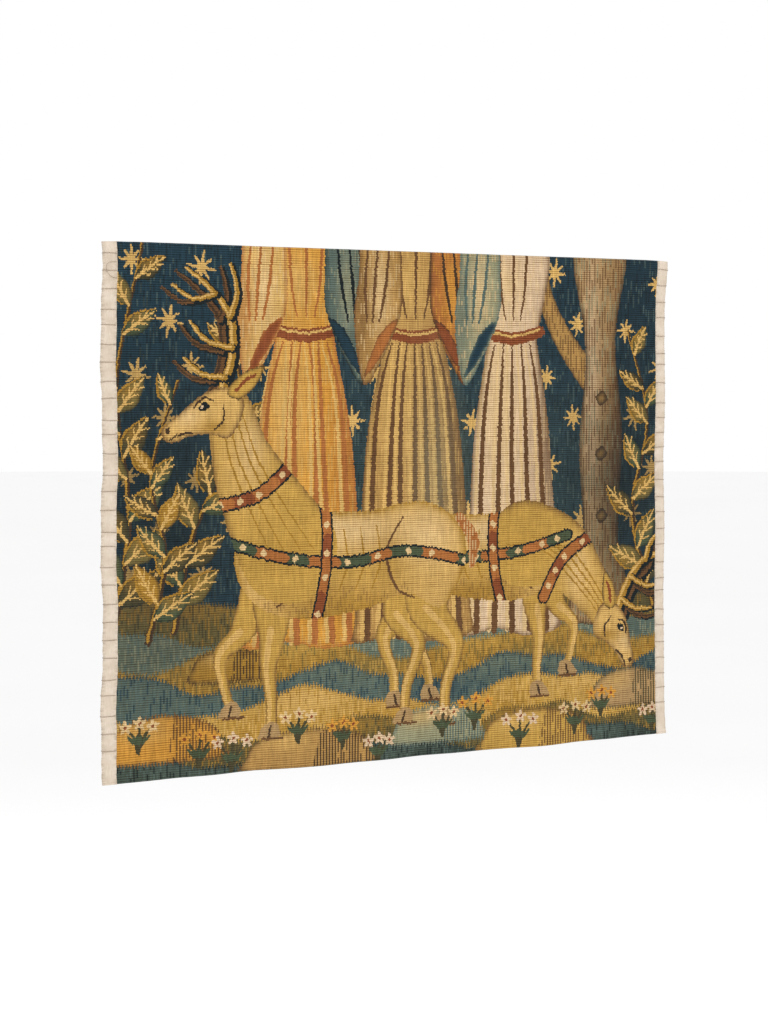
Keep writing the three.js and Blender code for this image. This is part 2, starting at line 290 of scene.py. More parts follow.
def wood_finish(colours):
    """Sanded softwood with long grain, a few dark rings and handling marks."""
    finish = Finish("bare_wood", Specular_IOR_Level=0.3)
    bend = finish.noise((2.2, 30.0, 14.0), 2.0)
    rings = finish.node("ShaderNodeTexWave", {"wave_type": "BANDS", "bands_direction": "Z"}, {
        "Vector": finish.place((1.5, 40.0, 62.0)), "Scale": 0.8, "Distortion": 7.0, "Detail": 2.0,
        "Detail Scale": 0.35,
    })
    grain = finish.noise((12.0, 900.0, 900.0), 4.0)
    colour = finish.mix(finish.between(rings, 0.45, 0.95), colours.wood, colours.wood_rings)
    colour = finish.mix(finish.between(grain, 0.5, 0.8) * 0.5, colour, paint(0x8A5E34))
    colour = finish.mix(finish.between(bend, 0.5, 0.8) * 0.4, colour, paint(0xE3C491))
    return finish.done(colour, finish.between(grain, 0.3, 0.7, 0.6, 0.78), grain + rings * 0.4, 0.12 * MM)


def metal_finish(name, bright, dull, roughness):
    """Handled metal: fine scratches, and tarnish that dulls the shine in patches."""
    finish = Finish(name)
    tarnish = finish.between(finish.noise((190.0, 190.0, 190.0), 4.0, 0.6), 0.42, 0.7)
    scratch = finish.noise((2500.0, 400.0, 300.0), 3.0)
    colour = finish.mix(tarnish, bright, dull)
    shine = finish.between(scratch, 0.35, 0.65, roughness, roughness + 0.12) + tarnish * 0.18
    return finish.done(colour, shine, scratch, 0.02 * MM, 1.0 - tarnish * 0.25)


def floor_finish():
    """A pale matt floor with a barely uneven tone."""
    white = (1, 1, 1, 1)
    finish = Finish("pale_floor", Specular_IOR_Level=0.1, Emission_Color=white, Emission_Strength=0.12)
    tone = finish.between(finish.noise((0.8, 0.8, 0.8), 3.0), 0.3, 0.7, 0.95, 0.97)
    return finish.done(finish.grey(tone), 0.9)


# ---- Shapes ----


def flowing(points, closed=False, steps=6):
    """Points along a smooth curve through the given ones."""
    points = np.array(points, float)
    count = len(points)
    places = []
    for span in range(count if closed else count - 1):
        near = [span + offset for offset in (-1, 0, 1, 2)]
        near = [index % count if closed else min(max(index, 0), count - 1) for index in near]
        before, start, end, after = points[near]
        for step in range(steps):
            t = step / steps
            bend = (2 * before - 5 * start + 4 * end - after) + t * (3 * (start - end) + after - before)
            places.append(start + 0.5 * t * ((end - before) + t * bend))
    if not closed:
        places.append(points[-1])
    return np.array(places)


def arc(centre, radius, first, last, steps=16):
    """Points on an arc between two angles in degrees."""
    angles = np.radians(np.linspace(first, last, steps + 1))
    return [(centre[0] + radius * math.cos(a), centre[1] + radius * math.sin(a)) for a in angles]


def spaced(points, count, side=1):
    """Evenly spaced points along a line, and the unit normal on one side of each."""
    points = np.array(points, float)
    length = np.concatenate([[0], np.cumsum(np.hypot(*np.diff(points, axis=0).T))])
    along = np.linspace(0, length[-1], count)
    places = np.stack([np.interp(along, length, points[:, axis]) for axis in (0, 1)], -1)
    ways = np.gradient(places, axis=0)
    ways /= np.linalg.norm(ways, axis=1, keepdims=True)
    return places, side * np.stack([-ways[:, 1], ways[:, 0]], -1), length[-1]


def drifting(random, rows, columns, reach):
    """Random numbers of spread 1 that change slowly along each row."""
    raw = random.standard_normal((rows, columns + 2 * reach))
    window = np.hanning(2 * reach + 1)
    smooth = np.array([np.convolve(row, window, "valid") for row in raw])
    return smooth[:, :columns] / np.sqrt((window ** 2).sum())


def eased(value, low, high):
    """0 below low, 1 above high and smooth between them."""
    share = np.clip((value - low) / (high - low), 0, 1)
    return share * share * (3 - 2 * share)


def settled(points):
    """Where points of flat cloth come to rest: slack below the bar, with worn corners and uneven edges."""
    x, y, z = np.moveaxis(np.array(points, float), -1, 0)
    slack_from = SLEEVE_LOW.z - 5 * MM
    below = np.clip((slack_from - z) / (slack_from - CLOTH_BOTTOM), 0, 1)
    near_left = np.exp(-(x - CLOTH_LEFT) / (50 * MM))
    near_right = np.exp(-(CLOTH_RIGHT - x) / (40 * MM))
    near_bottom = np.exp(-(z - CLOTH_BOTTOM) / (60 * MM))
    waves = 1.3 * np.sin(19 * x + 0.8) * below ** 0.8 + 1.0 * np.sin(43 * x + 6 * z) * below
    ripples = 0.7 * np.sin(31 * z + 5 * x) * np.minimum(1, 3 * below) + 0.5 * near_bottom * np.sin(90 * x)
    top_corner = eased(z, CLOTH_TOP - 55 * MM, CLOTH_TOP)
    worn = np.sin(330 * z + 3 * np.sin(47 * z))
    left_shift = near_left * (1.1 * np.sin(33 * z + 1.0) + 0.5 * np.sin(88 * z) - 1.2 * near_bottom
                              + 0.22 * worn)
    right_shift = near_right * (3.4 * near_bottom + 3.2 * top_corner + 0.6 * np.sin(41 * z) + 0.2 * worn)
    rise = 0.8 * eased(x, 0.08, 0.32) + 0.5 * np.sin(24 * x) + 0.35 * np.sin(61 * x)
    drop = 1.4 * np.exp(-(CLOTH_RIGHT - x) / (12 * MM)) + 0.8 * np.exp(-(x - CLOTH_LEFT) / (14 * MM))
    upper = np.exp(-(CLOTH_TOP - z) / (30 * MM))
    lift = rise * np.exp(-(z - CLOTH_BOTTOM) / (110 * MM)) - upper * drop
    return np.stack([x + MM * (left_shift + right_shift), y + MM * (waves + ripples), z + MM * lift], -1)


def mesh_object(name, vertices, faces, material, places=None, sharp=50):
    """A shaded object with its faces pointing out. places holds each vertex's map coordinates."""
    mesh = bpy.data.meshes.new(name)
    mesh.from_pydata(np.asarray(vertices).tolist(), [], faces)
    worked = bmesh.new()
    worked.from_mesh(mesh)
    bmesh.ops.recalc_face_normals(worked, faces=worked.faces)
    worked.to_mesh(mesh)
    worked.free()
    mesh.shade_smooth()
    mesh.set_sharp_from_angle(angle=math.radians(sharp))
    mesh.materials.append(material)
    if places is not None:
        corners = np.zeros(len(mesh.loops), np.int32)
        mesh.loops.foreach_get("vertex_index", corners)
        layer = mesh.uv_layers.new(name="weave")
        layer.uv.foreach_set("vector", np.asarray(places)[corners].astype(np.float32).ravel())
    made = bpy.data.objects.new(name, mesh)
    bpy.context.scene.collection.objects.link(made)
    return made


def cloth_object(name, outer, inner, columns, material, across, along):
    """A closed sheet of cloth. outer and inner are rows of points over its two faces, and columns says
    behind which of the outer columns the inner ones lie. across and along are the outer grid's map
    coordinates."""
    rows, wide = outer.shape[:2]
    deep, narrow = inner.shape[:2]
    front = np.arange(rows * wide).reshape(rows, wide)
    back = rows * wide + np.arange(deep * narrow).reshape(deep, narrow)
    faces = []
    for grid in (front, back):
        quads = np.stack([grid[:-1, :-1], grid[:-1, 1:], grid[1:, 1:], grid[1:, :-1]], -1)
        faces += quads.reshape(-1, 4).tolist()
    for row, inner_row in ((0, 0), (rows - 1, deep - 1)):
        for piece in range(narrow - 1):
            run = front[row, columns[piece]:columns[piece + 1] + 1].tolist()
            faces.append(run + back[inner_row, piece:piece + 2][::-1].tolist())
    for column in (0, -1):
        faces.append(front[:, column].tolist() + back[::-1, column].tolist())
    shown = np.stack(np.meshgrid(across, along), -1).reshape(-1, 2)
    hidden = np.meshgrid(np.asarray(across)[columns], np.linspace(along[0], along[-1], deep))
    places = np.concatenate([shown, np.stack(hidden, -1).reshape(-1, 2)])
    vertices = np.concatenate([outer.reshape(-1, 3), inner.reshape(-1, 3)])
    return mesh_object(name, vertices, faces, material, places)


def tube(route, radius, sides=10, ply=0.0, turns=0.0):
    """A round thread or wire along a route, closed at both ends: its points, faces and map coordinates.
    Its section has two lobes as deep as the share ply of its radius, and they make some turns along it."""
    route = np.array(route, float)
    runs = np.gradient(route, axis=0)
    runs /= np.linalg.norm(runs, axis=1, keepdims=True)
    length = np.concatenate([[0], np.cumsum(np.linalg.norm(np.diff(route, axis=0), axis=1))])
    side = np.cross(runs[0], (0.31, 0.53, 0.79))
    vertices, places, faces = [], [], []
    for centre, run, share in zip(route, runs, length / length[-1]):
        side = side - run * (side @ run)
        side /= np.linalg.norm(side)
        other = np.cross(run, side)
        for corner in range(sides):
            angle = math.tau * corner / sides
            reach = radius * (1 - ply * (0.5 - 0.5 * math.cos(2 * angle + math.tau * turns * share)))
            vertices.append(centre + reach * (math.cos(angle) * side + math.sin(angle) * other))
            places.append((corner / sides, turns * share))
    for ring in range(len(route) - 1):
        for corner in range(sides):
            after = (corner + 1) % sides
            faces.append([ring * sides + corner, ring * sides + after, (ring + 1) * sides + after,
                          (ring + 1) * sides + corner])
    faces.append(list(range(sides)))
    faces.append([(len(route) - 1) * sides + corner for corner in range(sides)])
    return vertices, faces, places


def tubes_object(name, tubes, material):
    """One object made of many tubes."""
    vertices, faces, places = [], [], []
    for points, sides, marks in tubes:
        faces += [[len(vertices) + corner for corner in face] for face in sides]
        vertices += points
        places += marks
    return mesh_object(name, vertices, faces, material, places, 70)


# ---- The picture ----


def averaged(values, axis, count):
    """Each number's mean with its neighbours up to a count away along one axis."""
    margin = [(count, count) if side == axis else (0, 0) for side in (0, 1)]
    sums = np.cumsum(np.pad(values, margin, mode="edge"), axis=axis)
    sums = np.insert(sums, 0, 0, axis=axis)
    size = values.shape[axis]
    ahead = np.take(sums, range(2 * count + 1, size + 2 * count + 1), axis=axis)
    return (ahead - np.take(sums, range(size), axis=axis)) / (2 * count + 1)


class Loom:
    """The woven colours: a row for each rib and a column for each pair of weft threads, placed in cm."""

    def __init__(self, left, right, bottom, top, wefts, rows, seed):
        self.random = np.random.default_rng(seed)
        across = left + (np.arange(wefts) + 0.5) * (right - left) / wefts
        up = bottom + (np.arange(rows) + 0.5) * (top - bottom) / rows
        self.x, self.z = np.meshgrid(across, up)
        self.x = self.x + 0.035 * np.repeat(self.random.standard_normal((rows // 2, 1)), 2, axis=0)
        self.passes = np.arange(wefts) // 2
        self.z = self.z + 0.06 * self.random.standard_normal(wefts)[self.passes]
        self.colour = np.zeros((rows, wefts, 3)) + linear(WOOLS["navy"])
        tooth = np.abs((across / 0.36) % 1 - 0.5) * 2 - 0.5
        self.teeth = tooth * self.random.uniform(0.35, 1.0, wefts)[np.arange(wefts) // 4]

    def cells_near(self, line, reach, z):
        """The rows and columns of the cloth that come within reach of a line, where its heights are z."""
        low, high = line.min(0) - reach, line.max(0) + reach
        columns = np.where((self.x.max(0) > low[0]) & (self.x.min(0) < high[0]))[0]
        rows = np.where((z.max(1) > low[1]) & (z.min(1) < high[1]))[0]
        return np.ix_(rows, columns)

    def inside(self, points, comb=0.0, smooth=True):
        """The part within an outline, whose upper and lower edges are toothed by comb."""
        outline = flowing(points, True) if smooth else np.array(points, float)
        z = self.z + comb * self.teeth
        block = self.cells_near(outline, 0.5, z)
        x, z = self.x[block], z[block]
        found = np.zeros(x.shape, bool)
        for (x0, z0), (x1, z1) in zip(outline, np.roll(outline, -1, 0)):
            if z0 == z1:
                continue
            crosses = (z0 > z) != (z1 > z)
            found ^= crosses & (x < (x1 - x0) * (z - z0) / (z1 - z0) + x0)
        mask = np.zeros(self.x.shape, bool)
        mask[block] = found
        return mask

    def area(self, wool, points, comb=0.0, smooth=True):
        """A filled outline of one wool."""
        mask = self.inside(points, comb, smooth)
        self.colour[mask] = linear(WOOLS[wool])
        return mask

    def stroke(self, wool, points, width):
        """A line of one wool, whose width runs from the first to the last of width along it."""
        line = flowing(points)
        widths = np.interp(np.linspace(0, 1, len(line)), np.linspace(0, 1, len(width)), width)
        block = self.cells_near(line, max(width), self.z)
        x, z = self.x[block], self.z[block]
        found = np.zeros(x.shape, bool)
        for (start, end, wide) in zip(line, line[1:], widths):
            run = end - start
            t = ((x - start[0]) * run[0] + (z - start[1]) * run[1]) / max(run @ run, 1e-9)
            t = np.clip(t, 0, 1)
            found |= np.hypot(x - start[0] - t * run[0], z - start[1] - t * run[1]) < wide / 2
        mask = np.zeros(self.x.shape, bool)
        mask[block] = found
        self.colour[mask] = linear(WOOLS[wool])
        return mask

    def glow(self, mask, wool, centre, radii, strength):
        """Shades towards another wool, most at a centre."""
        away = np.hypot((self.x - centre[0]) / radii[0], (self.z - centre[1]) / radii[1])
        share = (strength * np.exp(-away ** 2) * mask)[..., None]
        self.colour += (linear(WOOLS[wool]) - self.colour) * share

    def rim(self, mask, wool, reach, strength, whole=None):
        """Shades a part towards another wool along the edges of the whole it belongs to."""
        near = (mask if whole is None else whole).astype(float)
        cell_width = (self.x[0, -1] - self.x[0, 0]) / self.x.shape[1]
        cell_height = self.z[1, 0] - self.z[0, 0]
        for axis, cell in ((0, cell_height), (1, cell_width)):
            near = averaged(near, axis, max(1, round(reach / abs(cell))))
        uneven = 0.75 + 0.5 * self.random.uniform(0, 1, self.x.shape[1])[self.passes]
        share = np.clip((1 - near) * 2 * uneven, 0, 1) ** 1.5 * strength * mask
        self.colour += (linear(WOOLS[wool]) - self.colour) * share[..., None]

    def hatch(self, mask, wool, share, run, strength):
        """Weaves upright hachures of another wool into a part, one to every second pass of the weft."""
        random = self.random.uniform(0, 1, (3, self.x.shape[1]))[:, self.passes]
        length = 1.7 * run * (0.6 + random[0])
        woven = mask & (self.passes % 2 == 0)
        woven &= (self.z / length + 9 * random[1]) % 1 < min(1.0, 2.0 * share) * (0.5 + random[2])
        self.colour[woven] += (linear(WOOLS[wool]) - self.colour[woven]) * strength

    def streak(self, strength, run):
        """Lightens and darkens the passes of weft by chance, each for a run of its length."""
        count = 2 + int(np.ptp(self.z) / run)
        steps = self.random.standard_normal((count, self.x.shape[1]))[:, self.passes]
        along = (self.z - self.z.min()) / run + self.random.uniform(0, 1, self.x.shape[1])[self.passes]
        tone = np.take_along_axis(steps, np.clip(along.astype(int), 0, count - 1), axis=0)
        self.colour *= np.exp(strength * np.clip(tone, -2, 2))[..., None]

    def star(self, centre, size, turn):
        """A star with eight thin arms, the upright and level ones longest."""
        for arm in range(8):
            angle = turn + math.pi * arm / 4
            long = size * (1.0 if arm % 2 == 0 else 0.82)
            tip = (centre[0] + long * math.sin(angle) * 0.9, centre[1] + long * math.cos(angle))
            self.stroke("honey", [centre, tip], (0.46, 0.14))


# the picture's drawing runs a little past the cloth's edges
TOP = 59.0
SIDE = 72.0
ALL = [(0, -4), (SIDE, -4), (SIDE, TOP), (0, TOP)]


def paint_night_sky(loom):
    """The blue ground of the picture, with stars set out in staggered rows."""
    sky = loom.area("navy", ALL, smooth=False)
    loom.glow(sky, "teal", (40, 30), (26, 14), 0.5)
    loom.glow(sky, "ink", (66, 52), (12, 12), 0.35)
    loom.hatch(sky, "slate", 0.12, 2.6, 0.45)
    loom.hatch(sky, "ink", 0.14, 3.0, 0.5)
    for row in range(7):
        for place in range(10):
            across = 3.2 + 7.4 * place + 3.7 * (row % 2) + 0.7 * math.sin(2.1 * place + row)
            up = 55.2 - 5.6 * row + 0.6 * math.cos(1.7 * place + 2 * row)
            loom.star((across, up), 1.55 + 0.25 * math.sin(place * 1.3 + row), 0.2 * math.sin(place + row))


def wavy_bank(height, swing, length, start):
    """The outline of a bank of ground that reaches below the cloth, its upper edge a rolling line."""
    edge = []
    for step in range(19):
        across = -2 + 4.2 * step
        turn = math.tau * across / length
        roll = math.sin(turn + start) + 0.4 * math.sin(turn / 0.43 - start)
        edge.append((across, height + swing * roll))
    return edge + [(76, -4), (-2, -4)]


def paint_ground(loom):
    """Rolling banks of grass, water and earth, the farthest first."""
    for height, swing, length, start, wool, light, dark in [
        (18.4, 1.0, 38, 0.4, "olive", "ochre", "moss"),
        (15.6, 1.2, 27, 2.0, "pool", "mist", "slate"),
        (13.2, 1.3, 33, 4.1, "ochre", "gold", "olive"),
        (10.2, 1.2, 25, 1.2, "slate", "pool", "navy"),
        (7.4, 1.4, 31, 3.0, "gold", "honey", "ochre"),
        (4.2, 1.2, 22, 5.2, "olive", "ochre", "moss"),
        (1.6, 0.8, 28, 0.9, "teal", "slate", "ink"),
    ]:
        bank = loom.area(wool, wavy_bank(height, swing, length, start), comb=0.9)
        for crest in range(4):
            across = 9 + 18 * crest + 5 * math.sin(start + crest)
            loom.glow(bank, light, (across, height + 0.4), (6.5, 1.5), 0.75)
            loom.glow(bank, dark, (across + 9, height - 2.2), (5, 1.6), 0.7)
        loom.hatch(bank, dark, 0.24, 2.2, 0.7)
        loom.hatch(bank, light, 0.2, 1.8, 0.6)
        loom.rim(bank, dark, 0.6, 0.6)


def paint_rocks(loom):
    """Low rocks, each shaded on its right side by rows of upright hachures."""
    for across, up, wide, high, wool, dark in [
        (7, 3.4, 6.4, 3.6, "amber", "brown"), (24, 1.4, 7.6, 3.0, "tan", "umber"),
        (40, 3.0, 5.6, 2.8, "mist", "slate"), (53, 1.2, 7.0, 3.4, "gold", "brown"),
        (66, 5.4, 5.2, 3.2, "sand", "moss"), (14.4, 11.6, 4.4, 2.2, "ochre", "umber"),
    ]:
        edge = []
        for step in range(9):
            angle = math.pi * step / 8
            edge.append((across + wide * math.cos(angle), up + high * math.sin(angle) ** 0.8))
        rock = loom.area(wool, edge + [(across - wide, up - 1.4), (across + wide, up - 1.4)], comb=0.9)
        right, over = across + wide + 1, up + high + 1
        shade = rock & loom.inside([(across, up - 2), (across + 0.2 * wide, over), (right, over),
                                    (right, up - 2)], smooth=False)
        loom.glow(rock, "honey", (across - 0.4 * wide, up + 0.6 * high), (0.4 * wide, 0.4 * high), 0.6)
        loom.hatch(shade, dark, 0.5, 1.6, 0.9)
        loom.rim(rock, dark, 0.6, 0.8)


def leaf(loom, foot, length, turn, wool, vein):
    """A pointed leaf with a light edge, a midrib and side veins."""
    def at(along, aside):
        return (foot[0] + length * (along * math.cos(turn) - aside * math.sin(turn)),
                foot[1] + length * (along * math.sin(turn) + aside * math.cos(turn)))

    half = [(0.12, 0.13), (0.36, 0.24), (0.62, 0.19), (0.84, 0.08)]
    blade = loom.area(wool, [at(0, 0)] + [at(*place) for place in half] + [at(1, 0)]
                      + [at(along, -aside) for along, aside in reversed(half)])
    loom.glow(blade, "ochre", at(0.5, 0.12), (0.22 * length, 0.16 * length), 0.55)
    loom.rim(blade, "ink", 0.4, 0.75)
    loom.stroke(vein, [at(0.02, 0), at(0.5, 0.02), at(0.95, 0)], (0.34, 0.26, 0.16))
    for along in (0.3, 0.52, 0.72):
        for side in (-1, 1):
            loom.stroke(vein, [at(along - 0.1, 0), at(along + 0.08, side * 0.13)], (0.2, 0.14))
    edge = [at(0.1, 0.13), at(0.36, 0.235), at(0.62, 0.185), at(0.92, 0.05)]
    loom.stroke("ochre", edge, (0.16, 0.26, 0.12))


def spray(loom, route, leaves, length, wools):
    """A stem with leaves on both sides by turns."""
    line = flowing(route)
    loom.stroke("umber", route, (0.8, 0.5, 0.3))
    loom.stroke("ochre", [(x - 0.12, z) for x, z in route], (0.3, 0.2, 0.12))
    for number in range(leaves):
        spot = int((0.12 + 0.86 * number / leaves) * (len(line) - 1))
        run = line[min(spot + 1, len(line) - 1)] - line[spot - 1]
        turn = math.atan2(run[1], run[0]) + (0.75 if number % 2 else -0.75)
        size = length * (1 - 0.35 * number / leaves)
        leaf(loom, line[spot], size, turn, wools[number % len(wools)], "honey")


def paint_thicket(loom):
    """Dark leafy sprays that rise at both sides of the picture."""
    for centre, radii in (((6, 28), (9, 17)), ((65, 30), (7, 13))):
        loom.glow(loom.inside(ALL, smooth=False), "ink", centre, radii, 0.7)
    for route, leaves, length, wools in [
        ([(1, 16), (3, 28), (1.6, 42), (4.6, 58)], 13, 6.4, ("moss", "green", "olive")),
        ([(8, 16), (10.4, 27), (15.8, 38), (14.4, 50)], 12, 6.0, ("olive", "green", "moss")),
        ([(5, 15), (7, 24), (5.4, 33), (8.6, 43)], 10, 5.4, ("green", "ochre", "moss")),
        ([(69.6, 16), (66.4, 27), (68.6, 38), (65.8, 49)], 11, 5.8, ("moss", "olive", "green")),
    ]:
        spray(loom, route, leaves, length, wools)


def paint_trunk(loom):
    """An old tree at the right, its bark in upright streaks, with a bough that is cut by the upper edge."""
    bough = loom.stroke("tan", [(61.6, 42), (57, 47.6), (54.2, 53), (53.4, TOP)], (3.4, 2.6, 2.0, 1.8))
    loom.hatch(bough, "brown", 0.35, 2.0, 0.7)
    loom.rim(bough, "umber", 0.5, 0.8)
    trunk = loom.area("sand", [(57.8, 15), (59.4, 24), (59, 36), (59.8, 47), (58.2, TOP), (65.2, TOP),
                               (64, 48), (65, 36), (64.4, 24), (66.4, 15)])
    loom.glow(trunk, "brown", (64.4, 36), (1.7, 22), 0.85)
    loom.glow(trunk, "pale", (60.6, 42), (1.1, 16), 0.5)
    loom.hatch(trunk, "brown", 0.3, 3.2, 0.75)
    loom.hatch(trunk, "mist", 0.2, 2.8, 0.5)
    loom.rim(trunk, "umber", 0.6, 0.9)
    for up in (27, 34.4, 41):
        knot = loom.area("umber", [(61.2, up), (62, up + 0.9), (62.9, up), (62, up - 0.9)])
        loom.glow(knot, "tan", (62, up), (0.5, 0.5), 0.7)


def gown(loom, middle, waist, hem, foot, cloth, light, dark, folds):
    """A long gown cut off by the upper edge of the picture, gathered under a sash into straight folds."""
    outline = [
        (middle - waist * 1.25, TOP), (middle + waist * 1.25, TOP), (middle + waist, 49.6),
        (middle + waist * 0.9, 47.6), (middle + hem * 0.82, 36), (middle + hem, foot + 3),
        (middle + hem * 1.03, foot), (middle + hem * 0.3, foot - 0.8), (middle - hem * 0.3, foot + 0.2),
        (middle - hem * 1.03, foot - 0.4), (middle - hem, foot + 3), (middle - hem * 0.82, 36),
        (middle - waist * 0.9, 47.6), (middle - waist, 49.6)
    ]
    whole = loom.area(cloth, outline)
    loom.glow(whole, light, (middle - 0.3 * hem, 40), (0.35 * hem, 9), 0.75)
    loom.glow(whole, light, (middle - 0.2 * waist, 54), (0.6 * waist, 3), 0.7)
    loom.glow(whole, dark, (middle + 0.75 * hem, 34), (0.3 * hem, 12), 0.7)
    loom.hatch(whole, light, 0.2, 3.0, 0.45)
    for number in range(folds):
        share = (number + 0.5) / folds * 2 - 1
        sway = 0.5 * math.sin(3.3 * number + middle)
        route = [(middle + share * waist * 0.8, 47.2), (middle + share * hem * 0.72 + sway, 38),
                 (middle + share * hem * 0.94, foot)]
        loom.stroke(dark, route, (0.2, 0.55, 0.8))
        loom.stroke(light, [(x - 0.65, z) for x, z in route], (0.15, 0.4, 0.55))
    for share in (-0.5, 0.05, 0.55):
        aside = share * waist
        route = [(middle + aside, TOP), (middle + aside * 0.8, 53.4), (middle + aside * 0.5, 50)]
        loom.stroke(dark, route, (0.4, 0.3, 0.15))
    loom.rim(whole, dark, 0.7, 0.85)
    sash = [(middle - waist, 48.6), (middle, 47.9), (middle + waist, 48.7)]
    loom.stroke("brick", sash, (1.3, 1.5, 1.3))
    loom.stroke("honey", [(x, z + 0.3) for x, z in sash], (0.25, 0.3, 0.25))


def hanging_sleeve(loom, across, side, cloth, light, dark, lining):
    """A bell sleeve that hangs in front of a gown, its cuff open to show the lining."""
    def route(places):
        return [(across + side * aside, up) for aside, up in places]

    sleeve = loom.area(cloth, route([(-1.8, TOP), (2.4, TOP), (3, 54.6), (3.6, 49.4), (2.4, 42.6),
                                     (0.2, 45.2), (-2.2, 50.4), (-2.4, 55)]))
    loom.glow(sleeve, light, route([(0.4, 53)])[0], (1.2, 4.4), 0.75)
    loom.glow(sleeve, dark, route([(2.6, 50)])[0], (1, 5), 0.6)
    loom.hatch(sleeve, light, 0.16, 1.8, 0.5)
    loom.rim(sleeve, dark, 0.6, 0.9)
    cuff = loom.area(lining, route([(-1.9, 49.8), (0.4, 48.2), (2.4, 43.4), (0.3, 45.6)]))
    loom.rim(cuff, dark, 0.4, 0.8)
    for aside in (-0.9, 0.5, 1.7):
        fold = route([(aside, TOP), (aside + 0.5, 54), (0.6 * aside + 1, 49.6)])
        loom.stroke(dark, fold, (0.2, 0.4, 0.2))


def paint_gowns(loom):
    """Three gowned bystanders in a row, of whom only the gowns and sleeves are in the picture."""
    gown(loom, 23.4, 4.0, 7.0, 14, "amber", "honey", "rust", 6)
    gown(loom, 49.8, 3.7, 6.2, 14, "pale", "cream", "brown", 5)
    gown(loom, 37, 4.2, 7.4, 14, "tan", "honey", "brown", 7)
    loom.glow(loom.inside([(29, 14), (45, 14), (42, 48), (32, 48)]), "mist", (39.6, 32), (3, 12), 0.35)
    hanging_sleeve(loom, 28.2, 1, "slate", "mist", "ink", "navy")
    hanging_sleeve(loom, 33, -1, "tan", "cream", "brown", "rust")
    hanging_sleeve(loom, 41.4, 1, "rust", "amber", "umber", "brick")
    hanging_sleeve(loom, 45.8, -1, "mist", "cream", "slate", "navy")
    hanging_sleeve(loom, 18.8, -1, "honey", "cream", "rust", "brick")


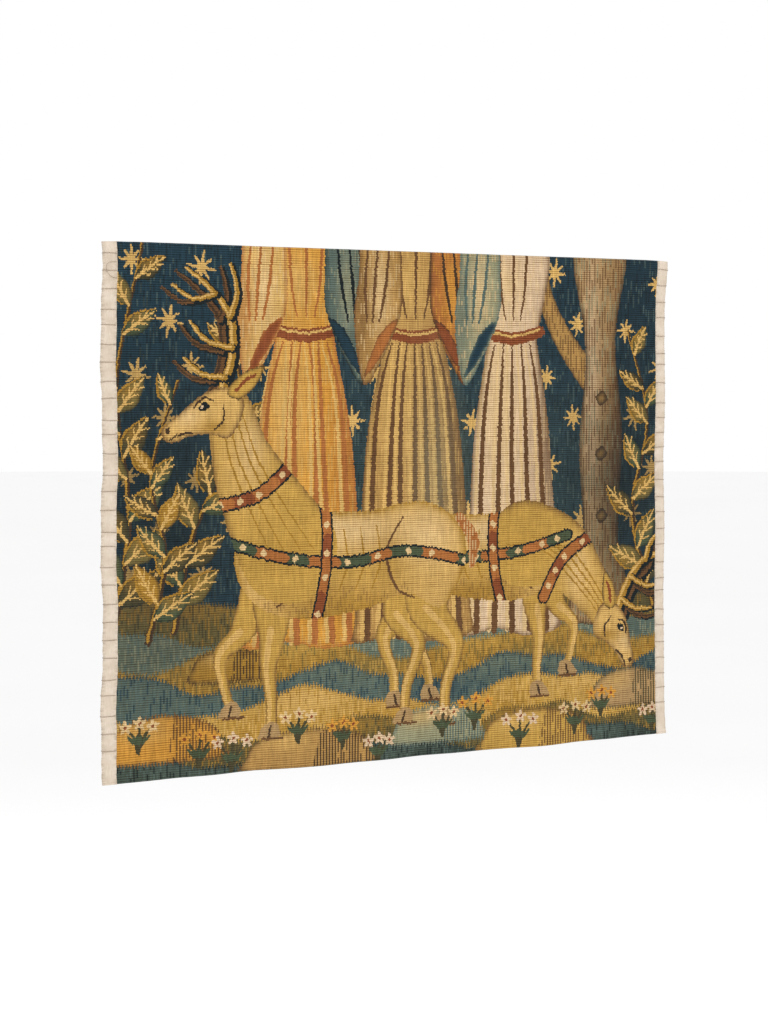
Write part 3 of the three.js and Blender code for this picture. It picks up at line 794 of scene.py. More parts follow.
class Stag:
    """Places a stag's shapes, given in shares of its height from its feet and middle, on the cloth."""

    def __init__(self, loom, middle, feet, height, facing):
        self.loom = loom
        self.middle = middle
        self.feet = feet
        self.height = height
        self.facing = facing
        self.whole = np.zeros(loom.x.shape, bool)

    def at(self, ahead, up):
        """A place on the cloth, given ahead of the stag's middle and up from its feet."""
        return (self.middle + self.facing * ahead * self.height, self.feet + up * self.height)

    def route(self, places):
        return [self.at(*place) for place in places]

    def glow(self, mask, wool, place, wide, high, strength):
        self.loom.glow(mask, wool, self.at(*place), (wide * self.height, high * self.height), strength)

    def line(self, wool, places, width):
        self.loom.stroke(wool, self.route(places), (width * 0.5, width, width * 0.5))

    def limb(self, places, widths):
        """A leg with a lit front, dark edges and a cloven hoof at its end."""
        route = self.route(places)
        leg = self.loom.stroke("gold", route, [width * self.height for width in widths])
        self.whole |= leg
        foot = np.array(route[-1])
        lit = [(x + self.facing * 0.25, z) for x, z in route[1:]]
        self.loom.rim(leg, "brown", 0.5, 0.8)
        self.loom.stroke("honey", lit, (0.8, 0.5, 0.4))
        corners = np.array([(-0.8, 0.6), (0.5, 0.7), (1.5, -0.9), (-0.9, -0.9)])
        self.loom.area("sand", foot + corners * (self.facing, 1))
        self.loom.stroke("umber", [foot + (0, 0.3), foot + (self.facing * 0.3, -0.9)], (0.25, 0.3))
        self.loom.stroke("brown", [foot + (-0.9, -1.0), foot + (1.4, -1.0)], (0.3, 0.3))

    def body(self):
        """The barrel and haunches with their muscles, ribs and tail."""
        loom = self.loom
        body = loom.area("honey", self.route([
            (-0.52, 0.93), (-0.36, 1.0), (-0.1, 0.965), (0.15, 0.97), (0.34, 1.02), (0.5, 0.9),
            (0.53, 0.72), (0.42, 0.56), (0.2, 0.5), (-0.1, 0.535), (-0.3, 0.59), (-0.46, 0.52),
            (-0.57, 0.66), (-0.59, 0.82)
        ]))
        self.whole |= body
        self.glow(body, "cream", (0.02, 0.88), 0.34, 0.09, 0.75)
        self.glow(body, "cream", (-0.4, 0.84), 0.12, 0.13, 0.6)
        self.glow(body, "gold", (0.05, 0.7), 0.36, 0.08, 0.9)
        self.glow(body, "ochre", (0.02, 0.56), 0.34, 0.09, 0.9)
        self.glow(body, "ochre", (-0.2, 0.74), 0.07, 0.16, 0.5)
        self.glow(body, "ochre", (0.24, 0.74), 0.06, 0.18, 0.45)
        self.glow(body, "cream", (0.38, 0.8), 0.09, 0.14, 0.5)
        loom.rim(body, "ochre", 1.2, 0.9, self.whole)
        belly = self.route([(-0.3, 0.5), (-0.3, 0.64), (0.4, 0.62), (0.4, 0.46)])
        loom.hatch(body & loom.inside(belly, smooth=False), "brown", 0.16, 1.2, 0.4)
        for number in range(6):
            start = -0.14 + 0.08 * number
            rib = [(start, 0.9 - 0.01 * number), (start - 0.02, 0.74), (start + 0.02, 0.62)]
            self.line("ochre", rib, 0.28)
        self.line("brown", [(-0.27, 0.93), (-0.19, 0.78), (-0.24, 0.62), (-0.33, 0.57)], 0.38)
        self.line("brown", [(0.3, 0.93), (0.21, 0.78), (0.24, 0.63), (0.34, 0.56)], 0.38)
        self.line("brown", [(0.48, 0.84), (0.46, 0.7), (0.38, 0.6)], 0.34)
        tail = self.route([(-0.56, 0.92), (-0.63, 0.82), (-0.62, 0.7)])
        tail = loom.stroke("rust", tail, (1.2, 1.5, 0.5))
        loom.hatch(tail, "cream", 0.35, 0.8, 0.7)

    def neck(self, places, widths):
        """A neck that narrows from the shoulder to the head, its coat in long lines."""
        neck = self.loom.stroke("gold", self.route(places), [width * self.height for width in widths])
        self.whole |= neck
        middle = places[len(places) // 2]
        self.glow(neck, "honey", middle, 0.12, 0.2, 0.9)
        self.glow(neck, "cream", (middle[0] - 0.04, middle[1] + 0.05), 0.06, 0.14, 0.5)
        self.glow(neck, "ochre", places[0], 0.16, 0.08, 0.4)
        self.loom.rim(neck, "brown", 1.0, 0.75, self.whole)
        for aside in (-0.09, -0.04, 0.02, 0.07):
            coat = [
                (ahead + aside * (1.3 - 0.25 * number), up)
                for number, (ahead, up) in enumerate(places)
            ]
            self.line("ochre", coat, 0.26)

    def head(self, poll, turn):
        """A head at the neck's end, turned down by an angle from level, and its antlers."""
        def at(along, above):
            return self.at(poll[0] + along * math.cos(turn) + above * math.sin(turn),
                           poll[1] - along * math.sin(turn) + above * math.cos(turn))

        def route(places):
            return [at(*place) for place in places]

        loom = self.loom
        for shift, wool, edge in ((0.05, "brown", "umber"), (0.0, "ochre", "honey")):
            for places, width in [
                ([(0.02, 0.04), (-0.07, 0.17), (-0.11, 0.33), (-0.05, 0.48), (0.02, 0.58)], 1.0),
                ([(-0.01, 0.09), (0.08, 0.13), (0.14, 0.22)], 0.7),
                ([(-0.08, 0.2), (0.02, 0.26), (0.07, 0.36)], 0.7),
                ([(-0.11, 0.33), (-0.17, 0.42), (-0.18, 0.54)], 0.7),
                ([(-0.07, 0.44), (0.03, 0.45), (0.1, 0.53)], 0.6),
            ]:
                beam = route([(along + shift, above) for along, above in places])
                loom.stroke("ink", [(x + 0.3, z - 0.15) for x, z in beam], (width + 0.3, width, 0.4))
                loom.stroke(wool, beam, (width, width * 0.8, 0.3))
                lit = [(x - 0.15, z + 0.05) for x, z in beam]
                loom.stroke(edge, lit, (width * 0.35, width * 0.3, 0.15))
        head = loom.area("honey", route([
            (-0.06, -0.05), (-0.02, 0.04), (0.06, 0.055), (0.14, 0.04), (0.24, 0.0), (0.32, -0.03),
            (0.335, -0.07), (0.3, -0.105), (0.22, -0.1), (0.13, -0.12), (0.04, -0.16)
        ]))
        loom.glow(head, "cream", at(0.2, -0.02), (1.6, 1.2), 0.6)
        loom.glow(head, "ochre", at(0.1, -0.1), (1.8, 0.9), 0.8)
        loom.rim(head, "brown", 0.6, 0.85)
        ear = loom.area("gold", route([
            (0.0, 0.02), (-0.06, 0.07), (-0.15, 0.09), (-0.2, 0.08), (-0.14, 0.02), (-0.05, -0.02)
        ]))
        loom.rim(ear, "umber", 0.35, 0.9)
        loom.stroke("brick", route([(-0.04, 0.02), (-0.1, 0.05), (-0.15, 0.06)]), (0.3, 0.4, 0.2))
        loom.area("ink", route([(0.09, -0.005), (0.115, 0.018), (0.145, -0.002), (0.115, -0.02)]))
        loom.area("pale", route([(0.118, 0.0), (0.126, 0.008), (0.134, 0.0), (0.126, -0.008)]))
        for places, width in [
            ([(0.07, 0.01), (0.11, 0.035), (0.16, 0.01)], 0.3),
            ([(0.31, -0.09), (0.26, -0.08), (0.2, -0.09)], 0.28),
            ([(0.03, -0.02), (0.05, -0.08), (0.1, -0.11)], 0.26),
        ]:
            loom.stroke("umber", route(places), (width * 0.5, width, width * 0.6))
        loom.area("umber", route([(0.29, -0.04), (0.305, -0.035), (0.315, -0.055), (0.3, -0.062)]))

    def strap(self, places, wide, wools, studs):
        """A leather strap across the stag, in two colours by turns, with pale studs evenly along it."""
        loom = self.loom
        bare = loom.colour.copy()
        line = flowing(self.route(places))
        loom.stroke("ink", line, (wide + 0.45, wide + 0.45))
        last = len(line) - 1
        for number in range(studs):
            piece = line[number * last // studs:(number + 1) * last // studs + 1]
            loom.stroke(wools[number % len(wools)], piece, (wide, wide))
        for number in range(studs):
            x, z = line[(2 * number + 1) * last // (2 * studs)]
            loom.area("cream", [(x - 0.4, z), (x, z + 0.4), (x + 0.4, z), (x, z - 0.4)])
        loom.colour[~self.whole] = bare[~self.whole]


# each leg's route down from the body and its widths, the farther pair first
LEGS = [
    ([(-0.32, 0.66), (-0.25, 0.5), (-0.35, 0.36), (-0.29, 0.18), (-0.28, 0.05)],
     (0.22, 0.13, 0.065, 0.05, 0.05)),
    ([(0.42, 0.64), (0.5, 0.46), (0.6, 0.36), (0.58, 0.22), (0.55, 0.13)],
     (0.16, 0.1, 0.06, 0.045, 0.045)),
    ([(-0.43, 0.74), (-0.4, 0.52), (-0.54, 0.35), (-0.49, 0.17), (-0.48, 0.03)],
     (0.3, 0.18, 0.075, 0.055, 0.055)),
    ([(0.36, 0.68), (0.36, 0.46), (0.38, 0.3), (0.365, 0.14), (0.37, 0.03)],
     (0.22, 0.12, 0.07, 0.052, 0.055)),
]


def paint_stag(loom, middle, feet, height, facing, neck, poll, turn):
    """A stag with a studded collar, girth and breast strap."""
    stag = Stag(loom, middle, feet, height, facing)
    for places, widths in LEGS:
        stag.limb(places, widths)
    stag.body()
    stag.neck(neck, (0.46, 0.36, 0.26, 0.19))
    stag.head(poll, turn)
    breast_strap = [(-0.62, 0.72), (-0.3, 0.78), (0.0, 0.74), (0.3, 0.77), (0.56, 0.84)]
    girth = [(0.12, 1.03), (0.1, 0.88), (0.11, 0.68), (0.16, 0.46)]
    stag.strap(breast_strap, 1.0, ("green", "rust"), 9)
    stag.strap(girth, 1.0, ("brick", "rust"), 5)
    near, far = np.array(neck[1]), np.array(neck[2])
    middle = (near + far) / 2  # the collar crosses the neck here
    along = (far - near) / np.hypot(*(far - near))
    across = np.array((-along[1], along[0]))
    collar = [middle + 0.24 * across, middle - 0.06 * along, middle - 0.24 * across]
    stag.strap(collar, 1.2, ("rust", "brick"), 5)


def paint_grazing_stag(loom):
    """The farther stag, which grazes at the right."""
    lowered = [(0.3, 0.8), (0.5, 0.76), (0.66, 0.6), (0.8, 0.42)]
    paint_stag(loom, 45, 6.4, 22, 1, lowered, (0.84, 0.42), 1.0)


def paint_watching_stag(loom):
    """The nearer stag, which lifts its head at the left."""
    raised = [(0.28, 0.8), (0.4, 1.0), (0.5, 1.2), (0.55, 1.4)]
    paint_stag(loom, 28.6, 3.8, 25.5, -1, raised, (0.56, 1.46), 0.3)


def flower(loom, foot, height, petals):
    """A small plant with a flower on each of three stems, two leaves at each."""
    for lean in (-0.45, 0.05, 0.5):
        x, z = foot[0] + lean * height, foot[1] + height * (1 - 0.25 * abs(lean))
        bend = (foot[0] + 0.4 * lean * height, foot[1] + 0.55 * height)
        loom.stroke("moss", [foot, bend, (x, z)], (0.4, 0.3, 0.2))
        for side in (-1, 1):
            start = (foot[0] + 0.3 * lean * height, foot[1] + 0.35 * height)
            loom.stroke("green", [start, (start[0] + side * 0.7, start[1] + 0.7)], (0.5, 0.2))
        for petal in range(5):
            angle = math.tau * petal / 5
            tip = (x + 0.6 * math.sin(angle), z + 0.6 * math.cos(angle))
            loom.stroke(petals, [(x, z), tip], (0.45, 0.3))
        loom.area("brick", [(x - 0.2, z), (x, z + 0.2), (x + 0.2, z), (x, z - 0.2)])


def paint_flowers(loom):
    """Flowering plants scattered over the near banks."""
    for number in range(12):
        across = 4 + 5.9 * number + 1.2 * math.sin(2.3 * number)
        up = 1.6 + 1.6 * math.cos(1.9 * number)
        flower(loom, (across, up), 3.2 + 0.5 * math.sin(number), ("cream", "amber", "pale")[number % 3])


def weave_picture(loom):
    """Weaves every part of the picture, from the farthest to the nearest."""
    for paint_part in (paint_night_sky, paint_ground, paint_rocks, paint_trunk, paint_thicket, paint_gowns,
                       paint_grazing_stag, paint_watching_stag, paint_flowers):
        paint_part(loom)
    loom.streak(0.055, 2.2)


# ---- Pieces ----


def finished(piece, body, slot, *nodes):
    """Says which body a piece moves with and which plain solids it stands for; slot, the finish it takes,
    is not used.
    """
    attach(piece, body)
    if nodes:
        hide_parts(*nodes)
    return piece


def weave_panel(sizes):
    """The woven picture: one sheet turned back along the top and the bottom, each rib modelled."""
    random = np.random.default_rng(WEAVE_SEED)
    radius = (BACK - FRONT) / 2
    middle = FRONT + radius
    outline = [(BACK, CLOTH_BOTTOM + HEM)]
    outline += arc((middle, CLOTH_BOTTOM + radius), radius, 0, -180)
    outline += arc((middle, CLOTH_TOP - radius), radius, 180, 0)
    outline += [(BACK, CLOTH_TOP - HEM)]
    rows = 2 * RIBS + 1
    path, ways, length = spaced(outline, rows)
    across = np.linspace(PANEL_LOW.x, PANEL_HIGH.x, COLUMNS + 1)
    relief = drifting(random, rows, COLUMNS + 1, 9) * 0.05 + drifting(random, rows, COLUMNS + 1, 2) * 0.03
    relief[1::2] += 0.16
    relief[0::2] -= 0.16
    proud = relief * MM * sizes.rib_relief
    outer = np.empty((rows, COLUMNS + 1, 3))
    outer[..., 0] = across
    outer[..., 1] = path[:, :1] + ways[:, :1] * proud
    outer[..., 2] = path[:, 1:] + ways[:, 1:] * proud
    in_fold = np.where(np.abs(ways[:, 1]) > 0.05)[0]
    inner_rows = sorted({*range(0, rows, 4), *in_fold.tolist(), rows - 1})
    columns = np.linspace(0, COLUMNS, 13).astype(int)
    within = path[inner_rows] - ways[inner_rows] * sizes.panel_thickness
    inner = np.empty((len(inner_rows), len(columns), 3))
    inner[..., 0] = across[columns]
    inner[..., 1] = within[:, :1]
    inner[..., 2] = within[:, 1:]
    panel = cloth_object("woven_panel", settled(outer), settled(inner), columns, tapestry_finish(),
                         np.linspace(0, 1, COLUMNS + 1), np.linspace(0, 1, rows))
    bottom = (HEM - radius + math.pi * radius / 2) / CM
    loom = Loom((PANEL_LOW.x - CLOTH_LEFT) / CM, (PANEL_HIGH.x - CLOTH_LEFT) / CM, -bottom,
                length / CM - bottom, COLUMNS * PARTS, rows - 1, WEAVE_SEED)
    weave_picture(loom)
    woven = np.clip(loom.colour, 0, 1).reshape(rows - 1, COLUMNS, PARTS, 3)
    for part in range(PARTS):
        tones = np.ones((len(panel.data.polygons), 4), np.float32)
        tones[:, :3] = linear(WOOLS["olive"])
        tones[:(rows - 1) * COLUMNS, :3] = woven[:, :, part].reshape(-1, 3)
        layer = panel.data.attributes.new(f"wool_{part}", "FLOAT_COLOR", "FACE")
        layer.data.foreach_set("color", tones.ravel())
    finished(panel, "hanging", "tapestry_wool", "tapestry_panel")


def fold_band(side, sizes, colours):
    """A cream band folded over one side edge, its ribs running on from the picture's."""
    random = np.random.default_rng(WEAVE_SEED + len(side))
    low, high = BANDS[side]
    out = -1 if side == "left" else 1
    seam = PANEL_LOW.x if side == "left" else PANEL_HIGH.x
    width = abs((low.x if side == "left" else high.x) - seam)
    radius = (BACK - FRONT) / 2
    outline = [(0, FRONT)] + arc((width - radius, FRONT + radius), radius, -90, 90) + [(0, BACK)]
    path, ways, length = spaced(outline, 33, -1)
    stations = 461
    height = np.linspace(CLOTH_BOTTOM, CLOTH_TOP, stations)
    relief = drifting(random, len(path), stations, 3) * 0.03 + drifting(random, 1, stations, 30) * 0.06
    relief[:, 1::2] += 0.11
    relief[:, 0::2] -= 0.11
    # the cut ends are gathered a little where the fold closes
    gather = np.exp(-(height - CLOTH_BOTTOM) / (16 * MM))
    relief = relief + gather * 0.28 * np.sin(np.linspace(0, 30, len(path)))[:, None]
    proud = relief * MM
    outer = np.empty((len(path), stations, 3))
    outer[..., 0] = seam + out * (path[:, :1] + ways[:, :1] * proud)
    outer[..., 1] = path[:, 1:] + ways[:, 1:] * proud
    outer[..., 2] = height
    columns = np.arange(0, stations, 10)
    within = path - ways * sizes.band_thickness
    inner = np.empty((len(path), len(columns), 3))
    inner[..., 0] = seam + out * within[:, :1]
    inner[..., 1] = within[:, 1:]
    inner[..., 2] = height[columns]
    shares = np.abs(path[:, 0]) / width
    around = np.where(path[:, 1] < FRONT + radius, shares, 2 - shares)
    band = cloth_object(f"{side}_band", settled(outer), settled(inner), columns, band_finish(colours),
                        (height - CLOTH_BOTTOM) / (2 * (height[1] - height[0])), around)
    finished(band, "hanging", "undyed_band", f"{side}_edge_band")


def oversew_band(side, sizes, colours):
    """The thread that oversews one band: round the outer fold, slanting up the back and out at the seam."""
    random = np.random.default_rng(WEAVE_SEED + 20 + len(side))
    low, high = BANDS[side]
    out = -1 if side == "left" else 1
    seam = (high.x + PANEL_LOW.x) / 2 if side == "left" else (low.x + PANEL_HIGH.x) / 2
    edge = low.x if side == "left" else high.x
    width = abs(edge - seam)
    radius = sizes.thread_radius
    stand = radius + 0.12 * MM
    middle, half = (FRONT + BACK) / 2, (BACK - FRONT) / 2 + stand
    count = round((CLOTH_TOP - CLOTH_BOTTOM - 24 * MM) / sizes.stitch_pitch)
    heights = CLOTH_TOP - 12 * MM - sizes.stitch_pitch * np.arange(count + 1)
    heights = heights + MM * np.clip(1.9 * random.standard_normal(count + 1), -4, 4)
    route = []
    for index in range(count):
        here, after = heights[index], heights[index + 1]
        slant, bow = MM * random.uniform(-0.9, 0.9), MM * random.uniform(-0.5, 0.5)
        route.append((0, FRONT + half, here))
        route.append((0.02 * width, FRONT - stand * 0.6, here))
        for share in np.linspace(0.15, 0.8, 6):
            rise = slant * share + bow * math.sin(math.pi * share)
            route.append((share * width, FRONT - stand, here + rise))
        for angle in np.linspace(-60, 60, 5):
            turn = math.radians(angle)
            reach = width - half + stand + half * math.cos(turn)
            route.append((reach, middle + half * math.sin(turn), here + slant))
        for share in np.linspace(0.8, 0.1, 5):
            route.append((share * width, BACK + stand, here + slant + (after - here) * (0.9 - share)))
    points = flowing([(seam + out * x, y, z) for x, y, z in route], steps=3)
    tubes = [tube(settled(points), radius, 8, 0.3, len(points) * 1.3)]
    if side == "left":
        # a slack stitch stands away from the band in a loop
        loop = [(0.02, 0.2, -21.5), (0.25, 0.5, -21.8), (0.55, 0.9, -22.2), (0.78, 1.1, -25),
                (0.8, 1.2, -29.5), (0.66, 1.1, -34), (0.46, 0.8, -37.2), (0.2, 0.4, -38.6),
                (0.02, 0.1, -38.9)]
        points = [
            (seam + out * share * width, FRONT - stand - stands_off * MM, CLOTH_TOP + down * MM)
            for share, stands_off, down in loop
        ]
        tubes.append(tube(settled(flowing(points)), radius * 0.8, 8, 0.3, 22))
    thread = tubes_object(f"{side}_oversewing", tubes, thread_finish(colours))
    finished(thread, "hanging", "overcast_thread", f"{side}_overcast_thread")


def short_stitches(places, run, long, radius, lift):
    """Short stitches: each a little arch of thread, so long along a run, with its middle at one place."""
    tubes = []
    shares = np.linspace(0, 1, 6)
    arch = np.outer(shares - 0.5, np.array(run) * long) + np.outer(np.sin(math.pi * shares), (0, lift, 0))
    for place in places:
        tubes.append(tube(settled(place + arch), radius, 6))
    return tubes


def make_lining(colours):
    """The cotton lining with its turned edge, and the slip stitches that hold it to the hems and bands."""
    random = np.random.default_rng(WEAVE_SEED + 40)
    wide, tall = 141, 121
    across = np.linspace(LINING_LOW.x, LINING_HIGH.x, wide)
    height = np.linspace(LINING_LOW.z, LINING_HIGH.z, tall)
    x, z = np.meshgrid(across, height)
    in_from_edge = np.minimum(np.minimum(x - LINING_LOW.x, LINING_HIGH.x - x),
                              np.minimum(z - LINING_LOW.z, LINING_HIGH.z - z))
    turned = 0.45 * (1 - eased(in_from_edge, 9 * MM, 12 * MM)) * eased(in_from_edge, -1 * MM, 3 * MM)
    creases = 0.25 * np.sin(34 * x + 9 * np.sin(9 * z)) + 0.2 * np.sin(27 * z + 4 * np.sin(13 * x))
    creases = creases + 0.12 * drifting(random, tall, wide, 8)
    clear_of_sleeve = 1 - eased(z, SLEEVE_LOW.z - 25 * MM, SLEEVE_LOW.z - 6 * MM) * (
        1 - eased(z, SLEEVE_HIGH.z, SLEEVE_HIGH.z + 2 * MM))
    bulge = MM * (turned + (0.3 + creases) * eased(in_from_edge, 10 * MM, 60 * MM) * clear_of_sleeve)
    outer = np.stack([x, np.full_like(x, LINING_HIGH.y) + bulge - 0.25 * MM, z], -1)
    columns = np.linspace(0, wide - 1, 15).astype(int)
    inner = outer[::10, columns] * (1, 0, 1) + (0, LINING_LOW.y, 0)
    cotton = cotton_finish("lining_cotton", colours.lining, colours.lining_stain)
    lining = cloth_object("cotton_lining", settled(outer), settled(inner), columns, cotton, across, height)
    finished(lining, "hanging", "lining_cotton", "lining")
    tubes = []
    y = LINING_HIGH.y + 0.15 * MM
    pitch, margin = 11 * MM, 4 * MM
    slip_stitch = (2.6 * MM, 0.22 * MM, 0.25 * MM)
    spots = np.arange(LINING_LOW.x + 1.5 * margin, LINING_HIGH.x - margin, pitch)
    for level, run in ((LINING_LOW.z, (0.5, 0, -1)), (LINING_HIGH.z, (0.5, 0, 1))):
        tubes += short_stitches([(spot, y, level) for spot in spots], run, *slip_stitch)
    spots = np.arange(LINING_LOW.z + 2 * margin, LINING_HIGH.z - margin, pitch)
    for level, run in ((LINING_LOW.x, (-1, 0, 0.5)), (LINING_HIGH.x, (1, 0, 0.5))):
        tubes += short_stitches([(level, y, spot) for spot in spots], run, *slip_stitch)
    stitches = tubes_object("lining_slip_stitches", tubes, thread_finish(colours))
    finished(stitches, "hanging", "overcast_thread")


def make_sleeve(sizes, colours):
    """The rod sleeve: one cotton strip sewn down along both edges, loose over the bar."""
    random = np.random.default_rng(WEAVE_SEED + 60)
    flange = 10 * MM
    corner = 5.5 * MM
    top, bottom = SLEEVE_HIGH.z - flange, SLEEVE_LOW.z + flange
    front, wall = SLEEVE_LOW.y + sizes.sleeve_thickness, SLEEVE_HIGH.y
    ease = 1.6 * MM
    outline = [(front, SLEEVE_LOW.z)] + arc((front + ease, bottom - ease), ease, 180, 90, 4)
    outline += arc((wall - corner, bottom + corner), corner, -90, 0)
    outline += arc((wall - corner, top - corner), corner, 0, 90)
    outline += arc((front + ease, top + ease), ease, -90, -180, 4) + [(front, SLEEVE_HIGH.z)]
    path, ways, length = spaced(outline, 89, -1)
    across = np.linspace(SLEEVE_LOW.x, SLEEVE_HIGH.x, 226)
    x = np.broadcast_to(across, (len(path), len(across)))
    z = np.broadcast_to(path[:, 1:], x.shape)
    free = eased(path[:, 0], front + 1.5 * MM, front + 8 * MM)[:, None]
    wrinkles = 0.28 * np.sin(70 * x + 40 * z) + 0.3 * np.sin(31 * x - 50 * z)
    wrinkles = wrinkles + 0.12 * drifting(random, len(path), len(across), 4)
    slack = -0.35 - 0.4 * np.exp(-((z - bottom) / (9 * MM)) ** 2) + wrinkles * 0.5
    proud = MM * free * np.minimum(slack, -0.02)
    outer = np.stack([x, path[:, :1] + ways[:, :1] * proud, z + ways[:, 1:] * proud], -1)
    columns = np.arange(0, len(across), 5)
    thick = sizes.sleeve_thickness * (1 - 0.25 * free)
    inner = outer[:, columns].copy()
    inner[..., 1] -= ways[:, :1] * thick
    inner[..., 2] -= ways[:, 1:] * thick
    along = np.linspace(0, length, len(path))
    cotton = cotton_finish("sleeve_cotton", colours.sleeve, colours.sleeve_stain, 0.7 * MM)
    sleeve = cloth_object("cotton_rod_sleeve", outer, inner, columns, cotton, across, along)
    finished(sleeve, "hanging", "sleeve_cotton", "rod_sleeve")
    tubes = []
    for level in (SLEEVE_LOW.z + 4 * MM, SLEEVE_HIGH.z - 4 * MM):
        spots = np.arange(SLEEVE_LOW.x + 4 * MM, SLEEVE_HIGH.x - 3 * MM, 6 * MM)
        places = [
            (spot, front - 0.1 * MM, level + 0.25 * MM * math.sin(3.1 * number))
            for number, spot in enumerate(spots)
        ]
        tubes += short_stitches(places, (1, 0, 0), 3.6 * MM, 0.24 * MM, 0.34 * MM)
    stitches = tubes_object("sleeve_stitching", tubes, thread_finish(colours))
    finished(stitches, "hanging", "overcast_thread")


def only(piece):
    """Selects one object and makes it the active one."""
    bpy.ops.object.select_all(action="DESELECT")
    bpy.context.view_layer.objects.active = piece
    piece.select_set(True)


def apply_modifier(piece, kind, **settings):
    """Adds a modifier, sets it up and applies it."""
    only(piece)
    modifier = piece.modifiers.new(kind.title(), kind)
    for name, value in settings.items():
        setattr(modifier, name, value)
    bpy.ops.object.modifier_apply(modifier=modifier.name)


def eased_copy(node, name, width, material):
    """A copy of a hard piece with its doubles merged and its edges rounded off."""
    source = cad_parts[node]
    piece = bpy.data.objects.new(name, source.data.copy())
    bpy.context.scene.collection.objects.link(piece)
    piece.data.materials.clear()
    piece.data.materials.append(material)
    only(piece)
    bpy.ops.object.mode_set(mode="EDIT")
    bpy.ops.mesh.select_all(action="SELECT")
    bpy.ops.mesh.remove_doubles(threshold=0.004 * MM)
    bpy.ops.mesh.dissolve_limited(angle_limit=math.radians(1.0))
    bpy.ops.mesh.select_all(action="DESELECT")
    bpy.ops.object.mode_set(mode="OBJECT")
    apply_modifier(piece, "BEVEL", width=width, segments=3, limit_method="ANGLE",
                   angle_limit=math.radians(40), use_clamp_overlap=True)
    bpy.ops.object.shade_smooth_by_angle(angle=math.radians(38))
    return piece


def make_bar(sizes, colours):
    """The softwood bar: planed, its ends sawn, its edges eased and its faces slightly cupped."""
    middle = (BAR_LOW + BAR_HIGH) / 2
    size = BAR_HIGH - BAR_LOW
    bpy.ops.object.select_all(action="DESELECT")
    bpy.ops.mesh.primitive_cube_add(size=1, location=middle, scale=size)
    bar = bpy.context.object
    bar.name = bar.data.name = "softwood_bar"
    bpy.ops.object.transform_apply(location=True, rotation=True, scale=True)
    apply_modifier(bar, "BEVEL", width=sizes.bar_edge, segments=4, limit_method="ANGLE")
    only(bar)
    bpy.ops.object.mode_set(mode="EDIT")
    for cut in np.linspace(BAR_LOW.x, BAR_HIGH.x, 42)[1:-1]:
        bpy.ops.mesh.select_all(action="SELECT")
        bpy.ops.mesh.bisect(plane_co=(cut, middle.y, middle.z), plane_no=(1, 0, 0))
    for cut in np.linspace(BAR_LOW.z + 3 * MM, BAR_HIGH.z - 3 * MM, 9):
        bpy.ops.mesh.select_all(action="SELECT")
        bpy.ops.mesh.bisect(plane_co=(0, middle.y, cut), plane_no=(0, 0, 1))
    bpy.ops.mesh.select_all(action="DESELECT")
    bpy.ops.object.mode_set(mode="OBJECT")
    for vertex in bar.data.vertices:
        x, y, z = vertex.co
        hollow = 1 - ((z - middle.z) / (size.z / 2)) ** 2
        side = 1 if y > middle.y else -1
        vertex.co.y = y - side * hollow * 0.18 * MM - side * 0.05 * MM * math.sin(37 * x) * hollow
    bar.data.materials.append(wood_finish(colours))
    bpy.ops.object.shade_smooth_by_angle(angle=math.radians(35))
    finished(bar, "bar", "bare_wood", "hanging_bar")


def make_ring(side, sizes, brass):
    """A D-shaped wire ring: a straight foot in the strap's barrel, round corners and an arched top."""
    low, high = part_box(f"{side}_hanger_ring")
    radius = sizes.wire_radius
    centre = (low.x + high.x) / 2
    half = (high.x - low.x) / 2 - radius
    foot = low.z + radius
    corner = 1.6 * MM
    joint = 0.2 * MM
    route = [(joint, 0), (half / 2, 0)]
    route += arc((half - corner, corner), corner, -90, 0, 6)
    route += arc((0, corner), half, 0, 180, 40)[1:]
    route += arc((corner - half, corner), corner, 180, 270, 6)[1:]
    route += [(-half / 2, 0), (-joint, 0)]
    wire = bpy.data.curves.new(f"{side}_wire_ring", "CURVE")
    wire.dimensions = "3D"
    wire.bevel_depth = radius
    wire.bevel_resolution = 7
    wire.use_fill_caps = True
    spline = wire.splines.new("POLY")
    spline.points.add(len(route) - 1)
    for point, (x, z) in zip(spline.points, route):
        point.co = (centre + x, (low.y + high.y) / 2, foot + z, 1)
    ring = bpy.data.objects.new(f"{side}_wire_ring", wire)
    bpy.context.scene.collection.objects.link(ring)
    only(ring)
    bpy.ops.object.convert(target="MESH")
    ring = bpy.context.object
    ring.data.materials.append(brass)
    bpy.ops.object.shade_smooth_by_angle(angle=math.radians(38))
    finished(ring, f"{side}_ring", "hanger_brass", f"{side}_hanger_ring")


def make_hangers(sizes, colours):
    """Both hangers: a folded brass strap, its wire ring and two slotted screws."""
    brass = metal_finish("hanger_brass", colours.brass, colours.tarnish, 0.24)
    steel = metal_finish("screw_steel", colours.steel, colours.dull_steel, 0.3)
    for side in ("left", "right"):
        strap = eased_copy(f"{side}_hanger_plate", f"{side}_strap", 0.22 * MM, brass)
        finished(strap, "bar", "hanger_brass", f"{side}_hanger_plate")
        make_ring(side, sizes, brass)
        for place in ("upper", "lower"):
            screw = eased_copy(f"{side}_{place}_screw", f"{side}_{place}_wood_screw", 0.12 * MM, steel)
            finished(screw, "bar", "screw_steel", f"{side}_{place}_screw")


# ---- The stage ----


FLOOR_LEVEL = -1.35
FLOOR_RADIUS = 30
SKY_LIGHT = 0.86  # how brightly the sky lights the piece, where 1 is how brightly it shows
LENS, SENSOR = 70.31, 36  # in millimetres
RISE = -0.0745  # the lens's upright shift, as a share of the frame
CAMERA_PLACE = (-1.028, -2.038, -0.1185)
CAMERA_TURN = (88.81, 0, -26.44)  # in degrees


